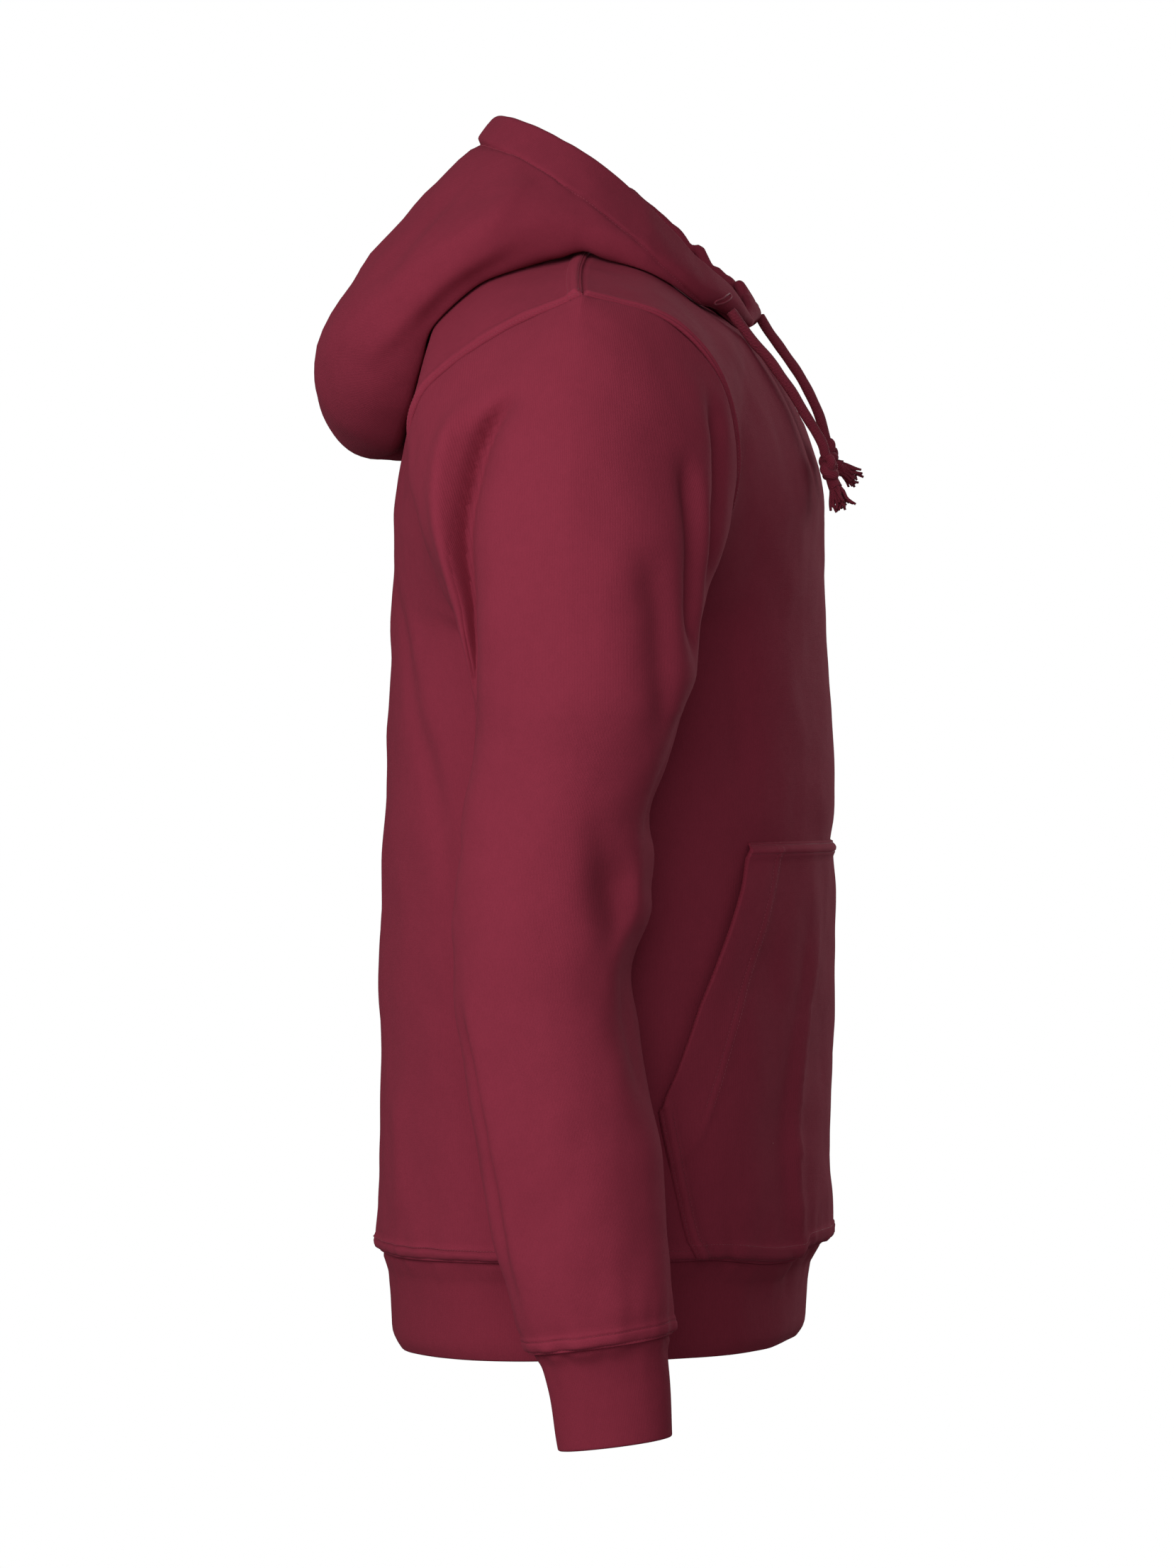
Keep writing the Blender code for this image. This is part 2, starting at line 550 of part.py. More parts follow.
def build():
    empty_scene()
    front, back = panel_grid(FRONT_SECTIONS), panel_grid(BACK_SECTIONS)
    front_body = Cloth("front_body", "fleece", FLEECE).add_grid(front, False).add_grid(mirrored(front), True)
    back_body = Cloth("back_body", "fleece", FLEECE).add_grid(back, True).add_grid(mirrored(back), False)
    sleeve = sleeve_grid(armhole(front, back))
    around = sleeve.shape[1]
    sleeve_right = Cloth("sleeve_right", "fleece", FLEECE).add_grid(sleeve, True, True)
    sleeve_left = Cloth("sleeve_left", "fleece", FLEECE).add_grid(mirrored(sleeve), False, True)
    cuff = cuff_grid(around)
    cuff_right = Cloth("cuff_right", "rib", RIB).add_grid(cuff, True, True)
    cuff_left = Cloth("cuff_left", "rib", RIB).add_grid(mirrored(cuff), False, True)
    hem_band = Cloth("hem_band", "rib", RIB).add_grid(hem_grid(front, back), True, True)
    pocket_points = kept_clear(pocket_grid(), cover_tree((front_body,)), (FLEECE + POCKET_CLEARANCE,))
    pocket = Cloth("pocket", "fleece", FLEECE).add_grid(pocket_points, True)
    cover = cover_tree((front_body, back_body, sleeve_right, sleeve_left))
    hood = hood_grid(cover)
    hood_right = Cloth("hood_right", "fleece", FLEECE).add_grid(hood, True)
    hood_left = Cloth("hood_left", "fleece", FLEECE).add_grid(mirrored(hood), False)
    make_walls((front_body, back_body, sleeve_right, sleeve_left, cuff_right, cuff_left, hem_band,
                pocket, hood_right, hood_left))
    for name, route, tail in (("right", RIGHT_CORD, RIGHT_TAIL), ("left", LEFT_CORD, LEFT_TAIL)):
        add_cord("cord_" + name, route)
        add_knot("knot_" + name, route, tail)


build()
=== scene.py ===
# %% [markdown]
# # A pullover hoodie in its worn shape
# The garment is maroon brushed fleece with a fallen hood, a hand pocket, rib cuffs and a rib hem. It is
# hollow and nobody wears it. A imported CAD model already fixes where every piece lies, so this lesson loads
# that model as a fixed frame and sews finer cloth into the same places: seams, stitches, folds and knit.
# One way to get cloth is to simulate all of it. A garment on no body would collapse, so here each piece is
# a thin shell shaped on its pattern, and its main folds follow lines listed in tables.

# %% Load the frame
from math import cos, pi, radians, sin

import bpy
import numpy as np
from mathutils import Matrix, Vector, noise
from mathutils.bvhtree import BVHTree


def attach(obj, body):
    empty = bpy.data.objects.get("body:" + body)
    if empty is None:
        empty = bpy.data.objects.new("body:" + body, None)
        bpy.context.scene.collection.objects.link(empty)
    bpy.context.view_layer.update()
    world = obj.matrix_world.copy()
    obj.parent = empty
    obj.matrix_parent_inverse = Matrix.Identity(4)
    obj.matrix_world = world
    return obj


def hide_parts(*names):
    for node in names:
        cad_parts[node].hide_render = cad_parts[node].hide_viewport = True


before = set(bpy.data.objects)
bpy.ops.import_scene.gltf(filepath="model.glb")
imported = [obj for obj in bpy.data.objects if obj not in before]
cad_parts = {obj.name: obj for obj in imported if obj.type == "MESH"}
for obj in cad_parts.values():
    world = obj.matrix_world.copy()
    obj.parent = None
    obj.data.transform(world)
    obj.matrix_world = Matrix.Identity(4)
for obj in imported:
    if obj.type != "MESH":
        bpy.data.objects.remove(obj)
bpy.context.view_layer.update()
print("nodes:", ", ".join(sorted(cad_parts)))

# %% [markdown]
# ## Camera
# The hoodie is seen from the wearer's right side, a little from the front, at the height of its middle.
# A long lens from three and a half metres keeps the sides nearly parallel, as a catalogue picture does.

# %% Camera
VIEW_FROM = 278            # degrees round the garment, 0 being the front
VIEW_DISTANCE = 3.5
LENS, SENSOR = 125.3, 36.0           # millimetres
MIDDLE = Vector((0.0, 0.0, -0.333))

view_way = Vector((sin(radians(VIEW_FROM)), -cos(radians(VIEW_FROM)), 0.0))
bpy.ops.object.camera_add(location=MIDDLE + view_way * VIEW_DISTANCE)
camera = bpy.context.active_object
camera.name = "camera"
camera.rotation_euler = (-view_way).to_track_quat("-Z", "Y").to_euler()
camera.data.sensor_fit = "VERTICAL"
camera.data.sensor_height = SENSOR
camera.data.lens = LENS
camera.data.clip_end = 60.0
bpy.context.scene.camera = camera
print("camera at", [round(value, 3) for value in camera.location])

# %% [markdown]
# ## Grids of cloth
# Every piece here, from the body to the draw cord, starts as Blender's plain grid. Its points are then put
# where the pattern says, as arrays of numbers, which is far quicker than moving them one by one. A grid has
# tidy rows and columns, so the knit can follow them: the UV map "cut" holds how far across and along the
# flat cloth each point lies, in metres. Where two patches meet, their points are merged. The wall comes from
# Solidify, and its inner layer is then set too, so that hems and the hood's channel can be thicker.

# %% Helpers for grids
def only(*things):
    """Select these objects and nothing else."""
    bpy.ops.object.select_all(action="DESELECT")
    for thing in things:
        thing.select_set(True)
    bpy.context.view_layer.objects.active = things[0]


def settle():
    """Write the place, turn and size of the selected objects into their points."""
    bpy.ops.object.transform_apply(location=True, rotation=True, scale=True)


def lay_grid(name, rows, columns):
    """A flat grid of quads, with the row and the column of each of its points."""
    bpy.ops.object.select_all(action="DESELECT")
    bpy.ops.mesh.primitive_grid_add(x_subdivisions=columns - 1, y_subdivisions=rows - 1, size=2)
    piece = bpy.context.active_object
    piece.name = name
    flat = read_vector(piece.data.vertices, "co")
    column = np.rint((flat[:, 0] + 1) / 2 * (columns - 1)).astype(int)
    row = np.rint((flat[:, 1] + 1) / 2 * (rows - 1)).astype(int)
    return piece, row, column


def read_vector(items, what, size=3):
    values = np.empty(len(items) * size, dtype=np.float32)
    items.foreach_get(what, values)
    return values.reshape(-1, size).astype(float)


def write_vector(items, what, values):
    items.foreach_set(what, np.asarray(values, dtype=np.float32).ravel())


def set_cut(mesh, cut):
    """Write how far across and along the flat cloth each point lies, point by point, into the UV map."""
    layer = mesh.uv_layers[0]
    layer.name = "cut"
    corner = np.empty(len(mesh.loops), dtype=np.int32)
    mesh.loops.foreach_get("vertex_index", corner)
    write_vector(layer.uv, "vector", cut[corner])


def set_number(mesh, name, values):
    """Store a number with each point, for the materials to read."""
    store = mesh.attributes.new(name, "FLOAT", "POINT")
    store.data.foreach_set("value", np.asarray(values, dtype=np.float32).ravel())


def steps(grid, axis):
    """Running distance along the rows (axis 0) or columns (axis 1) of a grid of points."""
    lengths = np.linalg.norm(np.diff(grid, axis=axis), axis=2)
    pad = [(0, 0), (0, 0)]
    pad[axis] = (1, 0)
    return np.cumsum(np.pad(lengths, pad), axis=axis)


def running(line):
    """Distance from the start of a line of points to each of them."""
    return np.concatenate(([0], np.cumsum(np.linalg.norm(np.diff(line, axis=0), axis=1))))


def grid_normals(grid, flip, around=False):
    """Unit normals of a grid, towards its outer side."""
    if around:
        wide = np.concatenate((grid[:, -2:-1], grid, grid[:, 1:2]), axis=1)
        across = wide[:, 2:] - wide[:, :-2]
    else:
        across = np.concatenate((grid[:, 1:2] - grid[:, :1], grid[:, 2:] - grid[:, :-2],
                                 grid[:, -1:] - grid[:, -2:-1]), axis=1)
    along = np.concatenate((grid[1:2] - grid[:1], grid[2:] - grid[:-2], grid[-1:] - grid[-2:-1]), axis=0)
    normal = np.cross(across, along) * (-1 if flip else 1)
    return normal / np.maximum(np.linalg.norm(normal, axis=2, keepdims=True), 1e-12)


print("helpers for grids are ready")

# %% [markdown]
# ## Reading the pattern
# A pattern cutter gives a few sections of the body and draws smooth lines between them. Here each table has
# one row for each section. A monotone curve joins them, because an ordinary spline overshoots between two
# sections that lie close together, and that would show as a dent in the cloth.

# %% Curves through a table
def read_table(table, at):
    """Values of a table's columns at each place asked for, by a smooth curve that never overshoots."""
    rows = np.array(table, float)
    places, values = rows[:, 0], rows[:, 1:]
    widths = np.diff(places)[:, None]
    slopes = np.diff(values, axis=0) / widths
    tangents = np.zeros_like(values)
    same_way = slopes[:-1] * slopes[1:] > 0
    total = np.where(same_way, slopes[:-1] + slopes[1:], 1.0)
    tangents[1:-1] = np.where(same_way, 2 * slopes[:-1] * slopes[1:] / total, 0.0)
    tangents[0], tangents[-1] = slopes[0], slopes[-1]
    at = np.asarray(at, float)
    k = np.clip(np.searchsorted(places, at) - 1, 0, len(places) - 2)
    s = ((at - places[k]) / widths[k, 0])[..., None]
    lift = s * s * (3 - 2 * s)
    return (values[k] * (1 - lift) + values[k + 1] * lift
            + widths[k] * (tangents[k] * s * (1 - s) ** 2 - tangents[k + 1] * s * s * (1 - s)))


def bezier(a, b, c, d, s):
    return a * (1 - s) ** 3 + 3 * b * s * (1 - s) ** 2 + 3 * c * s * s * (1 - s) + d * s ** 3


def smooth_route(route, step):
    """Points about a step apart on a smooth curve through a route's own points."""
    points = np.array(route, float)
    padded = np.concatenate((points[:1], points, points[-1:]))
    at = np.linspace(0, len(points) - 1, 40 * len(points))
    k = np.minimum(at.astype(int), len(points) - 2)
    s = (at - k)[:, None]
    a, b, c, d = padded[k], padded[k + 1], padded[k + 2], padded[k + 3]
    fine = 0.5 * (2 * b + (c - a) * s + (2 * a - 5 * b + 4 * c - d) * s * s
                  + (3 * b - a - 3 * c + d) * s ** 3)
    run = running(fine)
    wanted = np.linspace(0, run[-1], max(3, round(run[-1] / step) + 1))
    return np.column_stack([np.interp(wanted, run, fine[:, axis]) for axis in range(3)])


def ease(value, start, end):
    """0 before start, 1 after end, smooth between."""
    s = np.clip((value - start) / (end - start), 0.0, 1.0)
    return s * s * (3 - 2 * s)


def hump(value, middle, half):
    return np.exp(-((value - middle) / half) ** 2)


print("halfway up a two-row table:", read_table(((0, 0.0), (1, 2.0)), [0.5])[0])

# %% [markdown]
# ## Draw cord
# The cord runs hidden in the hood's channel and its two ends hang free, each from its own buttonhole. It is
# a limp, tightly twisted cotton cord, 6.5 mm thick. Each end lies on the chest and finishes in a knot with
# a frayed tail, so it can't slip back. It could be a curve with a round bevel, but a swept grid carries a UV
# map, and the twill of the cord needs one.

# %% Sweep a round grid along a route
CORD_DIAMETER = 0.0065
CORD_STEP = 0.0008         # spacing of the cord's rings
RIGHT_CORD = (
    (-0.0610, -0.0990, -0.0360), (-0.0580, -0.1065, -0.0465), (-0.0550, -0.1130, -0.0555),
    (-0.0520, -0.1215, -0.0650), (-0.0490, -0.1295, -0.0765), (-0.0460, -0.1370, -0.0875),
    (-0.0425, -0.1440, -0.1000), (-0.0390, -0.1500, -0.1100), (-0.0365, -0.1545, -0.1185),
    (-0.0350, -0.1565, -0.1265),
)
LEFT_CORD = (
    (0.0500, -0.1055, -0.0305), (0.0470, -0.1110, -0.0395), (0.0430, -0.1180, -0.0490),
    (0.0390, -0.1245, -0.0580), (0.0350, -0.1310, -0.0670), (0.0315, -0.1365, -0.0760),
    (0.0290, -0.1415, -0.0855), (0.0270, -0.1460, -0.0955), (0.0255, -0.1490, -0.1050),
    (0.0245, -0.1510, -0.1130),
)


def sweep(name, line, radii, sides):
    """A round, closed tube along a line of points, with its UV map in metres."""
    line = np.asarray(line, float)
    rings = len(line)
    ahead = np.gradient(line, axis=0)
    ahead /= np.linalg.norm(ahead, axis=1)[:, None]
    side = np.cross(ahead[0], (0.0, 0.0, 1.0) if abs(ahead[0][2]) < 0.9 else (1.0, 0.0, 0.0))
    sides_at, angles = [], np.linspace(0, 2 * pi, sides + 1)
    for direction in ahead:
        side = side - direction * side.dot(direction)
        side = side / np.linalg.norm(side)
        sides_at.append(side)
    sides_at = np.array(sides_at)
    other = np.cross(ahead, sides_at)
    radii = np.broadcast_to(np.asarray(radii, float), (rings,))[:, None, None]
    grid = line[:, None] + radii * (sides_at[:, None] * np.cos(angles)[None, :, None]
                                    + other[:, None] * np.sin(angles)[None, :, None])
    round_it, along_it = angles[None, :] * float(radii.max()), running(line)[:, None]
    cut = np.stack(np.broadcast_arrays(round_it, along_it), axis=2)
    piece, row, column = lay_grid(name, rings, sides + 1)
    write_vector(piece.data.vertices, "co", grid[row, column])
    set_cut(piece.data, cut[row, column])
    bpy.ops.object.mode_set(mode="EDIT")
    bpy.ops.mesh.select_all(action="SELECT")
    bpy.ops.mesh.remove_doubles(threshold=1e-6)
    bpy.ops.mesh.select_all(action="DESELECT")
    bpy.ops.mesh.select_non_manifold()
    bpy.ops.mesh.fill_holes(sides=0)
    bpy.ops.mesh.select_all(action="SELECT")
    bpy.ops.mesh.normals_make_consistent(inside=False)
    bpy.ops.object.mode_set(mode="OBJECT")
    bpy.ops.object.shade_smooth()
    settle()
    return piece


cords = {}
for side, route in (("right", RIGHT_CORD), ("left", LEFT_CORD)):
    line = smooth_route(route, CORD_STEP)
    run = np.arange(len(line)) * CORD_STEP
    radii = CORD_DIAMETER / 2 * (1 + 0.025 * np.sin(run / 0.0031))
    cords[side] = sweep("draw_cord_" + side, line, radii, 32)
    print("cord end", side, "is", round(float(running(line)[-1]) * 1000), "mm long")

# %% [markdown]
# Each knot is an overhand knot pulled tight: the cord crosses itself three times, as a trefoil does, so a
# tube swept along a small trefoil looks right from every side. Below it the cord has come apart into its
# yarns. They are thin tapered sweeps that fan out, bundled in two tufts, joined into one piece.

# %% Knots with frayed tails
KNOT_SIZE = 0.00200        # scale of the trefoil
KNOT_CORD = 0.0031         # radius of the cord in the knot
KNOT_BEYOND = 0.0075       # from the cord's end to the knot's middle
STEM_LENGTH = 0.0095       # whole cord between the knot and its yarns
TAIL_LENGTH = 0.0165
YARNS, YARN_RADIUS = 38, 0.00125
RIGHT_TAIL = (-0.02, -0.35, -0.94)
LEFT_TAIL = (-0.05, -0.80, -0.60)


def frayed_knot(name, route, tail, seed):
    """An overhand knot on a cord's end and its yarns below, as one piece."""
    end = np.array(route[-1])
    before = np.array(route[-2])
    along = (end - before) / np.linalg.norm(end - before)
    way = np.array(tail) / np.linalg.norm(tail)
    face = np.cross(along, (1.0, 0.0, 0.0))
    face /= np.linalg.norm(face)
    broad = np.cross(along, face)
    middle = end + along * KNOT_BEYOND
    turn = np.linspace(0, 2 * pi, 97)
    loops = (broad[None] * (np.sin(turn) + 2 * np.sin(2 * turn))[:, None]
             + along[None] * (np.cos(turn) - 2 * np.cos(2 * turn))[:, None] * 1.1
             + face[None] * (-1.25 * np.sin(3 * turn))[:, None])
    parts = [sweep(name, middle + loops * KNOT_SIZE, KNOT_CORD, 16)]
    neck = middle + along * 0.004
    stem = [neck + (along * (1 - s) + way * s) * STEM_LENGTH * s for s in np.linspace(0, 1, 9)]
    parts.append(sweep(name + "_stem", stem, np.linspace(0.0036, 0.0044, 9), 16))
    chance = np.random.default_rng(seed)
    left, right = broad, np.cross(way, broad)
    for k in range(YARNS):
        tuft = -1 if k % 2 else 1
        spread = chance.normal(0, 0.15, 2) + (0.36 * tuft, 0.10 * tuft)
        heading = way + left * spread[0] + right * spread[1]
        heading /= np.linalg.norm(heading)
        root = stem[-2] + (left * chance.uniform(-1, 1) + right * chance.uniform(-1, 1)) * 0.0028
        curl = (left * chance.normal() + right * chance.normal()) * 0.0010
        reach = TAIL_LENGTH * chance.uniform(0.62, 1.0)
        at = np.linspace(0, 1, 8)[:, None]
        line = root + heading * reach * at + curl * at * at + curl[::-1] * 0.5 * np.sin(at * 7)
        parts.append(sweep(name + "_yarn", line, YARN_RADIUS * (1 - 0.35 * at[:, 0] ** 2), 6))
    only(*parts)
    bpy.ops.object.join()
    return parts[0]


knots = {}
for side, route, tail, seed in (("right", RIGHT_CORD, RIGHT_TAIL, 3), ("left", LEFT_CORD, LEFT_TAIL, 8)):
    knots[side] = frayed_knot("cord_knot_" + side, route, tail, seed)
    print("knot", side, "has", len(knots[side].data.polygons), "faces")

# %% [markdown]
# ## The body's pattern
# The body has a front and a back panel. Each section of a half panel runs from the side seam or armhole to
# the centre line or neckline, and turns round the body on the way. The fine grid follows the same sections
# as the CAD's, with rows packed close beside each seam, where the stitches need them.

# %% Sections of the body
SHOULDER_POINT = (-0.226, -0.029, -0.040)
NECK_POINT = (-0.090, -0.016, 0.000)
HEM_ROW, UNDERARM_ROW, SHOULDER_ROW = 0, 12, 22
FRONT_SECTIONS = (
    (0, -0.1960, -0.0125, -0.6225, 0.000, -0.1498, -0.6245, 90, 0.000),
    (1, -0.2010, -0.0125, -0.6120, 0.000, -0.1523, -0.6140, 90, 0.000),
    (2, -0.2020, -0.0125, -0.5800, 0.000, -0.1493, -0.5800, 90, 0.000),
    (5, -0.2040, -0.0125, -0.4800, 0.000, -0.1493, -0.4800, 90, 0.000),
    (8, -0.2050, -0.0125, -0.3800, 0.000, -0.1528, -0.3800, 90, 0.000),
    (9, -0.2050, -0.0125, -0.3460, 0.000, -0.1563, -0.3400, 90, 0.000),
    (10, -0.2030, -0.0125, -0.3150, 0.000, -0.1548, -0.3050, 90, 0.000),
    (11, -0.1997, -0.0125, -0.2890, 0.000, -0.1532, -0.2700, 90, 0.000),
    (12, -0.1960, -0.0125, -0.2620, 0.000, -0.1518, -0.2350, 90, 0.000),
    (13, -0.1940, -0.0550, -0.2430, 0.000, -0.1508, -0.1950, 80, 0.001),
    (14, -0.1910, -0.0890, -0.2060, 0.000, -0.1483, -0.1550, 68, 0.003),
    (15, -0.1880, -0.1100, -0.1660, 0.000, -0.1320, -0.1000, 58, 0.006),
    (16, -0.1870, -0.1165, -0.1380, 0.000, -0.0980, -0.0470, 50, 0.009),
    (17, -0.1910, -0.1135, -0.1080, -0.030, -0.0920, -0.0410, 45, 0.008),
    (18, -0.1970, -0.1060, -0.0850, -0.054, -0.0770, -0.0300, 40, 0.005),
    (20, -0.2130, -0.0735, -0.0520, -0.081, -0.0460, -0.0100, 30, 0.003),
    (22, *SHOULDER_POINT, *NECK_POINT, 25, 0.000),
)
BACK_SECTIONS = (
    (0, -0.1960, -0.0125, -0.6225, 0.000, 0.1288, -0.6290, 90, 0.000),
    (1, -0.2010, -0.0125, -0.6120, 0.000, 0.1318, -0.6160, 90, 0.000),
    (2, -0.2020, -0.0125, -0.5800, 0.000, 0.1313, -0.5800, 90, 0.000),
    (5, -0.2040, -0.0125, -0.4800, 0.000, 0.1303, -0.4800, 90, 0.000),
    (8, -0.2050, -0.0125, -0.3800, 0.000, 0.1278, -0.3800, 90, 0.000),
    (9, -0.2050, -0.0125, -0.3460, 0.000, 0.1258, -0.3400, 90, 0.000),
    (10, -0.2030, -0.0125, -0.3150, 0.000, 0.1243, -0.3050, 90, 0.000),
    (11, -0.1997, -0.0125, -0.2890, 0.000, 0.1236, -0.2700, 90, 0.000),
    (12, -0.1960, -0.0125, -0.2620, 0.000, 0.1228, -0.2350, 90, 0.000),
    (13, -0.1940, 0.0210, -0.2500, 0.000, 0.1203, -0.2000, 80, 0.000),
    (14, -0.1920, 0.0500, -0.2220, 0.000, 0.1188, -0.1600, 68, 0.000),
    (15, -0.1910, 0.0680, -0.1860, 0.000, 0.1150, -0.1200, 58, -0.003),
    (16, -0.1900, 0.0770, -0.1500, 0.000, 0.1060, -0.0780, 52, -0.005),
    (17, -0.1910, 0.0820, -0.1190, 0.000, 0.0920, -0.0420, 48, -0.004),
    (18, -0.1950, 0.0760, -0.0990, 0.000, 0.0750, -0.0120, 45, 0.000),
    (20, -0.2130, 0.0235, -0.0610, -0.064, 0.0460, -0.0050, 35, 0.001),
    (22, *SHOULDER_POINT, *NECK_POINT, 25, 0.000),
)
NECK_STRAIGHTNESS = 0.7


def panel_points(sections, at, turned):
    """Points of a panel's right half: at is the row, turned runs from 0 at the edge to 1 at the middle."""
    ex, ey, ez, mx, my, mz, turn, crown = (column[:, None] for column in read_table(sections, at).T)
    turn = np.radians(turn)
    angle = turn * (1 - turned)
    across = np.sin(angle) / np.sin(turn)
    rounded = (np.cos(angle) - np.cos(turn)) / (1 - np.cos(turn))
    straight = NECK_STRAIGHTNESS * mx / NECK_POINT[0]
    fall = rounded + (1 - across - rounded) * straight
    out = 1 if sections is BACK_SECTIONS else -1
    return np.stack((mx + (ex - mx) * across,
                     ey + (my - ey) * rounded + out * crown * np.sin(pi * turned),
                     ez + (mz - ez) * fall), axis=2)


def mirrored(grid):
    return grid * np.array((-1.0, 1.0, 1.0))


def on_side(sign, *grids):
    """The grids as they are for the wearer's right (sign -1), or mirrored for the left (sign 1)."""
    return [grid if sign < 0 else mirrored(grid) for grid in grids]


print("half chest at the underarm:", round(-2 * FRONT_SECTIONS[8][1], 3), "m across")

# %% [markdown]
# Seams need close rows of points beside them and open cloth doesn't. A list of marks gives the distances
# from a seam where a row is wanted: at the seam itself, around each row of stitches, and then wider.

# %% Rows and columns of a half panel
STITCH_ROWS = (0.0018, 0.0074)       # two rows of stitches beside a plain seam
RIB_STITCH_ROWS = (0.0018, 0.0088)   # the same where rib is sewn on
SEAM_MARKS = (0, .0007, .0013, .0018, .0023, .0032, .0046, .0060, .0068, .0074, .0080, .0092, .0110, .0140,
              .0180)
RIB_MARKS = (0, .0007, .0013, .0018, .0023, .0035, .0052, .0070, .0082, .0088, .0094, .0106, .0125, .0155,
             .0195)
EDGE_MARKS = (0, .0002, .0006, .0012, .0020, .0030, .0045, .0065, .0090)
CLOTH_STEP = 0.0043


def marks(length, step, start=(0,), end=(0,), count=None):
    """Distances along a length: the marks asked for at its ends and even steps between them."""
    first, last = start[-1], length - end[-1]
    count = count or max(2, round((last - first) / step) + 1)
    even = np.linspace(first, max(last, first + 1e-5 * count), count)
    return np.concatenate((start[:-1], even, [length - mark for mark in end[-2::-1]]))


def rows_between(sections, low, high, start, end, step):
    """Row places whose points on the panel's edge lie at the wanted distances."""
    fine = np.linspace(low, high, 400)
    line = panel_points(sections, fine, np.zeros((400, 1)))
    run = steps(line, 0)[:, 0]
    return np.interp(marks(run[-1], step, start, end), run, fine)


body_rows = rows_between(FRONT_SECTIONS, HEM_ROW, UNDERARM_ROW, RIB_MARKS, (0,), CLOTH_STEP)
arm_rows = rows_between(FRONT_SECTIONS, UNDERARM_ROW, SHOULDER_ROW, (0,), SEAM_MARKS, CLOTH_STEP)
PANEL_ROWS = np.concatenate((body_rows, arm_rows[1:]))
UNDERARM = len(body_rows) - 1         # index of the row at the underarm
HALF_COLUMNS = 68


def half_panel(sections):
    """The right half of a panel: points, distance of each column from the edge, all on the fine grid."""
    fine = np.linspace(0, 1, 240)
    lines = panel_points(sections, PANEL_ROWS, np.broadcast_to(fine, (len(PANEL_ROWS), 240)))
    runs = steps(lines, 1)
    turned, from_edge = [], []
    for run in runs:
        wanted = marks(run[-1], 0, SEAM_MARKS, (0,), HALF_COLUMNS - len(SEAM_MARKS) + 1)
        turned.append(np.interp(wanted, run, fine))
        from_edge.append(wanted)
    return panel_points(sections, PANEL_ROWS, np.array(turned)), np.array(from_edge)


front_half, front_from_edge = half_panel(FRONT_SECTIONS)
back_half, back_from_edge = half_panel(BACK_SECTIONS)
print("half panel:", front_half.shape[0], "rows of", front_half.shape[1], "points")

# %% [markdown]
# ## Folds, seams and unevenness
# Real cloth is never as smooth as its pattern. A fold is a line on the body with a profile across it: a
# trough or a ridge, steeper on one side, that fades out at its ends. It lifts the cloth along its own normal,
# and only the deepest folds move it in a direction of their own. A seam pulls the cloth in along its line,
# and two rows of stitches press a low band beside it. Between them a little slow noise keeps large areas
# from looking moulded.

# %% Lifts of the cloth
FOLD_STEP, DRAPE_STEP = 0.008, 0.006   # spacing of the points on a fold's line
FADE_IN = 0.036                        # how far a deep fold takes to reach its full depth


def nearest_on(points, line):
    """For each point: its distance from a line, the gap itself, the nearest piece of line and where on it."""
    start, ahead = line[:-1], np.diff(line, axis=0)
    from_start = points[:, None] - start[None]
    share = np.clip((from_start * ahead).sum(2) / (ahead * ahead).sum(1), 0, 1)
    gap = from_start - share[..., None] * ahead
    distance = np.linalg.norm(gap, axis=2)
    nearest = distance.argmin(axis=1)
    rows = np.arange(len(points))
    return distance[rows, nearest], gap[rows, nearest], nearest, share[rows, nearest]


def close_to(points, line, reach):
    return np.flatnonzero(((points > line.min(0) - reach) & (points < line.max(0) + reach)).all(axis=1))


def gap_to(grid, line, reach=0.06):
    """Distance of each point of a grid from a seam line, or the reach where it is further."""
    flat = grid.reshape(-1, 3)
    near = close_to(flat, line, reach)
    gap = np.full(len(flat), reach)
    if len(near):
        gap[near] = np.minimum(reach, nearest_on(flat[near], line)[0])
    return gap.reshape(grid.shape[:-1])


def fold_lift(points, normals, folds):
    """Lift at each point from the folds near it. Each fold: line, lift, width on its left and right."""
    flat, flat_normals = points.reshape(-1, 3), normals.reshape(-1, 3)
    total = np.zeros(len(flat))
    for line, lift, left, right in folds:
        line = smooth_route(line, FOLD_STEP)
        near = close_to(flat, line, 2.4 * max(left, right))
        if not len(near):
            continue
        ahead = np.diff(line, axis=0)
        distance, gap, nearest, share = nearest_on(flat[near], line)
        signed = (gap * np.cross(ahead[nearest], flat_normals[near])).sum(1)
        along = (nearest + share) / len(ahead)
        fade = ease(along, 0, 0.25) * (1 - ease(along, 0.70, 1.0))
        total[near] += lift * fade * np.exp(-(distance / np.where(signed > 0, left, right)) ** 2)
    return total.reshape(points.shape[:-1])


def drape(points, drapes):
    """Moves of the deepest folds, which fall one way. Each: line, move, width behind and in front of it."""
    flat = points.reshape(-1, 3)
    total = np.zeros_like(flat)
    for line, move, back, front in drapes:
        line, move = smooth_route(line, DRAPE_STEP), np.array(move)
        near = close_to(flat, line, 2.6 * max(back, front))
        ahead = np.diff(line, axis=0)
        distance, gap, nearest, share = nearest_on(flat[near], line)
        behind = gap[:, 1] > 0
        along = (nearest + share) / len(ahead)
        full_from = min(0.45, FADE_IN / (DRAPE_STEP * len(ahead)))
        fade = ease(along, 0, full_from) * (1 - ease(along, 0.62, 1.0))
        total[near] += move * (fade * np.exp(-(distance / np.where(behind, back, front)) ** 2))[:, None]
    return total.reshape(points.shape)


def unevenness(points, size, amount):
    """Slow noise with features of about this size, the same at the same place on every piece."""
    flat = points.reshape(-1, 3) / size
    values = np.array([noise.noise(Vector(place)) for place in flat])
    return (values * amount).reshape(points.shape[:-1])


